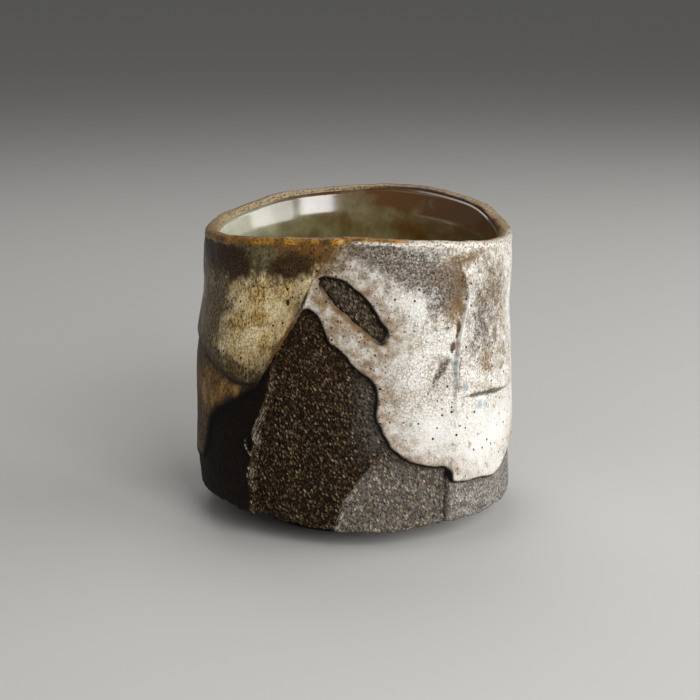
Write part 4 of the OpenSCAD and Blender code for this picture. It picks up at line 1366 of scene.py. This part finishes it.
def lip_glaze(name):
    """Thin iron glaze, golden brown; the fields tan, dark, pale and olive turn it to those colours."""
    material, tree, shader, place = new_material(name)
    cloud = add(tree, "TexNoise", {"Vector": place, "Scale": per_metre(2.5), "Detail": 5.0})
    freckle = add(tree, "TexNoise", {"Vector": place, "Scale": per_metre(0.45), "Detail": 4.0})
    layers = [(add(tree, "MapRange", {"Value": cloud, "From Min": 0.4, "From Max": 0.65}), "#4d3208")]
    for key, tint in LIP_TINTS.items():
        field = add(tree, "Attribute", out="Fac", attribute_name=key)
        ragged = add(tree, "Math", {0: field, 1: freckle}, operation="ADD")
        layers.append((add(tree, "MapRange", {"Value": ragged, "From Min": 0.6, "From Max": 1.1}), tint))
    spotted = add(tree, "MapRange", {"Value": freckle, "From Min": 0.48, "From Max": 0.62, "To Max": 0.8})
    plug(tree, shader, {
        "Base Color": paint(tree, "#b88428", layers + [(spotted, "#3f2604")]),
        "Normal": add(tree, "Bump", {"Height": freckle, "Strength": 0.4, "Distance": 0.15 * MM}),
        "Roughness": 0.36, "IOR": 1.5})
    return material


lip_material = lip_glaze("thin_iron_glaze")
print("finish:", lip_material.name)

# %% [markdown]
# ## The coat over the lip
# The lip's coat is a closed band carried round the cup: from a nibbled edge on the outside, over a rounded
# top that is fuller to the outside, down to a feathered edge inside, and back through the clay. A bevel on
# the clay would be simpler, but it would be even, and a lip that was wiped by hand isn't.

# %% The band over the lip
LIP_COAT = 0.25
LIP_FEATHER = 0.12
LIP_FULLNESS = 0.68
LIP_INSIDE_DEPTH = 1.0
LIP_TUCK = 0.6
LIP_TUCK_DEPTH = 0.2
LIP_EDGE_ROLL = 0.8
CORE_ABOVE_INSIDE = 0.3
CORE_ABOVE_OUTSIDE = 0.2
BAND_LEFT = 1.05
BAND_RIGHT = 0.8
RIGHT_START = (-7, -1)
RIGHT_END = (110, 80)
BAND_WANDER = (0.3, 2.2, 61)
BAND_NIBBLES = (0.3, 0.8, 64)
LIP_WAVES = (0.14, 4.0, 62)
LIP_DENTS = (0.1, 1.5, 63)
LIP_RADIUS = 30.0
LIP_ANGLES = stretches((-160, SEAM_ANGLE, 560))
BAND_SHARES = np.linspace(0.945, 1, 12)
TOP_TURNS = np.radians(np.linspace(10, 170, 15))
INSIDE_DROPS = np.linspace(0.2, LIP_INSIDE_DEPTH, 8)
CORE_SHARES = np.linspace(0, 1, 3)
angle, share = np.meshgrid(LIP_ANGLES, BAND_SHARES)
band_place = polar(angle, RUN_RADIUS, 0.0)
band = mix(BAND_LEFT, BAND_RIGHT, rise(angle, *RIGHT_START) * rise(angle, *RIGHT_END))
band = band + rough(band_place, BAND_WANDER) + rough(band_place, BAND_NIBBLES)
drop = rim_height(angle) - wall_height(angle, share)
coat_height = pour_thickness(angle, share) + LIP_FEATHER * roll(band - drop, LIP_EDGE_ROLL)
lip_outside = polar(angle, form_radius(angle, share) + coat_height, wall_height(angle, share))

lip_form = form_radius(LIP_ANGLES, np.ones_like(LIP_ANGLES))
inner_edge, _ = inner_radius(LIP_ANGLES, np.zeros_like(LIP_ANGLES), LIP_COAT)
top_angle, turn = np.meshgrid(LIP_ANGLES, TOP_TURNS)
lip_power = np.where(np.cos(turn) > 0, LIP_FULLNESS, 1.0)
over_lip = np.sign(np.cos(turn)) * np.abs(np.cos(turn)) ** lip_power
ring_place = polar(LIP_ANGLES, LIP_RADIUS, 0.0)
lip_rise = LIP_ROUND + LIP_COAT + rough(ring_place, LIP_WAVES) + rough(ring_place, LIP_DENTS)
lip_top = polar(top_angle, mix(inner_edge, lip_form + coat_height[-1], (1 + over_lip) / 2),
                rim_height(top_angle) - LIP_ROUND + lip_rise * np.sin(turn) ** lip_power)

down_angle, down = np.meshgrid(LIP_ANGLES, INSIDE_DROPS)
lip_in_radius, lip_in_height = inner_radius(down_angle, down / INSIDE_HEIGHT, LIP_COAT)
tucked = (LIP_COAT + LIP_TUCK_DEPTH) * rise(down, LIP_INSIDE_DEPTH - LIP_TUCK, LIP_INSIDE_DEPTH)
lip_inside = polar(down_angle, lip_in_radius + tucked, lip_in_height)
core_angle, core = np.meshgrid(LIP_ANGLES, CORE_SHARES)
lip_core = polar(core_angle, mix(inner_edge, lip_form, 0.5) + 0 * core,
                 mix(lip_inside[-1, :, 2] + CORE_ABOVE_INSIDE, lip_outside[0, :, 2] + CORE_ABOVE_OUTSIDE,
                     core))
band_rings = np.concatenate([lip_outside, lip_top, lip_inside, lip_core])
print("lip band of", band_rings.shape[0], "rings by", band_rings.shape[1], "points")

# %% Piece: the coat over the lip
PALE_TOP = 0.85
TAN_MOST = 0.85
DARK_MOST = 0.9
OLIVE_MOST = 0.5
ring_angle = np.broadcast_to(LIP_ANGLES, band_rings.shape[:2])
ring_drop = rim_height(ring_angle) + LIP_COAT - band_rings[..., 2]
within = -np.ones((len(lip_inside) + len(lip_core), len(LIP_ANGLES)))
outward = np.concatenate([np.ones_like(drop), over_lip, within])


def round_daub(middle, width):
    """A soft patch round the lip at an angle, the same across the seam."""
    return bell((ring_angle - middle + 180) % 360 - 180, 0, width)


pale = rise(ring_angle, -5, 3) * rise(ring_angle, 100, 75) * rise(ring_drop, 0.5, 0.9) * (outward > 0)
pale_top = rise(ring_angle, 12, 28) * rise(ring_angle, 98, 73) * rise(outward, 0.1, 0.5)
tan_right = round_daub(112, 40) * rise(outward, -0.6, -0.2)
left_front = rise(ring_angle, 8, 0) * rise(ring_angle, -100, -80) * (outward > 0)
# The dark field inside at the back right is partly amber glaze and partly painted shade, as on the glaze
# below it
lip_fields = {"pale": np.maximum(pale, PALE_TOP * pale_top),
              "tan": TAN_MOST * np.maximum(round_daub(-140, 62), tan_right),
              "dark": DARK_MOST * round_daub(132, 45) * rise(outward, -0.5, -0.9),
              "olive": OLIVE_MOST * left_front * rise(ring_drop, 0.9, 1.4)}
band_faces = ring_faces(*ring_angle.shape, closed=True)
add_piece("lip_coat", band_rings, [band_faces], lip_fields, lip_material, "rim_glaze")

# %% [markdown]
# ## The glaze inside
# Inside, the glaze is thick and very glossy. It went olive grey in slow clouds and amber brown below the
# lip on the right, and there the brown is made deeper and darker as painted shade. A pale patch on the left
# is a painted reflection of the window. A clear coat over the colour gives the sharp shine of a glassy
# glaze, while the colour below stays soft.

# %% Finish: olive glaze inside
LINER_GLOSS = {"Roughness": 0.2, "IOR": 1.5, "Coat Weight": 1.0, "Coat Roughness": 0.15, "Coat IOR": 1.7}


def liner_finish(name):
    """Glossy olive glaze with slow clouds: brown, partly painted shade, and a painted reflection where fields
    say.
    """
    material, tree, shader, place = new_material(name)
    brown, painted_glare = (add(tree, "Attribute", out="Fac", attribute_name=key) for key in ("brown", "painted_glare"))
    cloud = add(tree, "TexNoise", {"Vector": place, "Scale": per_metre(6), "Detail": 4.0})
    fleck = add(tree, "TexNoise", {"Vector": place, "Scale": per_metre(1.0), "Detail": 3.0})
    clouded = add(tree, "MapRange", {"Value": cloud, "From Min": 0.38, "From Max": 0.65})
    flecked = add(tree, "MapRange", {"Value": fleck, "From Min": 0.55, "From Max": 0.75, "To Max": 0.4})
    browned = add(tree, "Math", {0: brown, 1: cloud}, operation="MULTIPLY")
    browned = add(tree, "MapRange", {"Value": browned, "From Min": 0.08, "From Max": 0.42})
    # The brown is amber glaze and, on the right, painted shade; the pale tint is a painted reflection of the
    # window
    layers = [(clouded, "#675e33"), (flecked, "#4f4822"), (painted_glare, "#cfd1bb"), (browned, "#5e3a08")]
    plug(tree, shader, {
        "Base Color": paint(tree, "#918d68", layers),
        "Normal": add(tree, "Bump", {"Height": cloud, "Strength": 0.25, "Distance": 0.4 * MM}),
        **LINER_GLOSS})
    return material


liner_material = liner_finish("olive_ash_glaze")
print("finish:", liner_material.name)

# %% [markdown]
# ## The coat inside
# The inside is a bowl with a straight wall, a rounded corner and a nearly flat floor, and faint rings from
# the tool that hollowed it. Rings at even depths would crowd on the wall and miss the floor, so there are
# three kinds: even steps down the wall, even turns round the corner and even steps across the floor. A
# second sheet in the clay closes it.

# %% Piece: the glaze inside
LINER_THICKNESS = 0.5
LINER_BURIED = 0.3
LINER_STEP = 0.02
LINER_SWELL = 0.85
SWELL_DEPTH = 4.5
SWELL_LOSS = 0.6
SWELL_EVEN = 14.5
TOOL_RINGS = (0.12, 1.0, 71)
TOOL_STRETCH = [9, 9, 1.6]
TOOL_DEPTHS = (3, 15)
TOOL_RADII = (0, 12)
PRESSED_HOLLOWS = (0.1, 7.0, 72)
LINER_ANGLES = stretches((-180, 180, 300))
TOP_DEPTH = -0.006
STRAIGHT_DEPTH = 0.7
FLOOR_TURN = 1.35
MIDDLE_SPAN = 0.02
BURIED_TOP = 0.02
BROWN_ANGLE = 125
BROWN_DEPTH = 12
BROWN_LEAST = 0.1
BROWN_AND_SHADE_ON_RIGHT = 1.3
GLARE_ANGLE = -85
GLARE_WIDTH = 48
GLARE_DEPTHS = (18, 2)
GLARE_MOST = 0.8
wall_depths = np.linspace(TOP_DEPTH, STRAIGHT_DEPTH, 47)
corner_turns = np.linspace(math.asin(STRAIGHT_DEPTH ** (INNER_POWER / 2)), FLOOR_TURN, 26)[1:]
floor_spans = np.linspace(math.cos(FLOOR_TURN) ** (2 / INNER_POWER), MIDDLE_SPAN, 14)[1:]
floor_depths = (1 - floor_spans ** INNER_POWER) ** (1 / INNER_POWER)
air_depths = np.concatenate([wall_depths, np.sin(corner_turns) ** (2 / INNER_POWER), floor_depths])
buried_depths = np.append(INNER_SHARES[:0:-1], BURIED_TOP)

air_angle, air_depth = np.meshgrid(LINER_ANGLES, air_depths)
air_mm = air_depth * INSIDE_HEIGHT
swell = LINER_SWELL * np.clip(air_mm / SWELL_DEPTH, -1, 1)
swell = swell * (1 - SWELL_LOSS * rise(air_mm, SWELL_DEPTH, SWELL_EVEN))
air_radius, air_height = inner_radius(air_angle, air_depth, LIP_COAT + LINER_STEP + swell)
air = polar(air_angle, air_radius, air_height)
tooling = rough(air / TOOL_STRETCH, TOOL_RINGS) + rough(air, PRESSED_HOLLOWS)
tooling = tooling * rise(air_mm, *TOOL_DEPTHS) * rise(air_radius, *TOOL_RADII)
air = polar(air_angle, air_radius + tooling, air_height + LINER_THICKNESS * air_depth ** 3)
buried_angle, buried_depth = np.meshgrid(LINER_ANGLES, buried_depths)
buried_radius, buried_height = inner_radius(buried_angle, buried_depth, -LINER_BURIED)
buried = polar(buried_angle, buried_radius, buried_height - LINER_BURIED * buried_depth ** 3)
liner_points, liner_faces = closed_body(np.concatenate([buried, air]))

# Brown below the lip is amber glaze, made deeper and darker on the right as painted shade; the pale patch on
# the left is a painted reflection of the window on the glaze
to_right = 0.5 + 0.5 * np.cos(np.radians(air_angle - BROWN_ANGLE))
brown = np.exp(-np.clip(air_mm, 0, None) / BROWN_DEPTH) * (BROWN_LEAST + BROWN_AND_SHADE_ON_RIGHT * to_right ** 2)
painted_glare = GLARE_MOST * bell(air_angle, GLARE_ANGLE, GLARE_WIDTH) * rise(air_mm, *GLARE_DEPTHS)
no_colour = np.zeros(buried.shape[:2])
liner_fields = {key: np.append(np.concatenate([no_colour, values]).ravel(), [0, 0])
                for key, values in [("brown", brown), ("painted_glare", painted_glare)]}
add_piece("liner_coat", liner_points, liner_faces, liner_fields, liner_material, "liner_glaze")
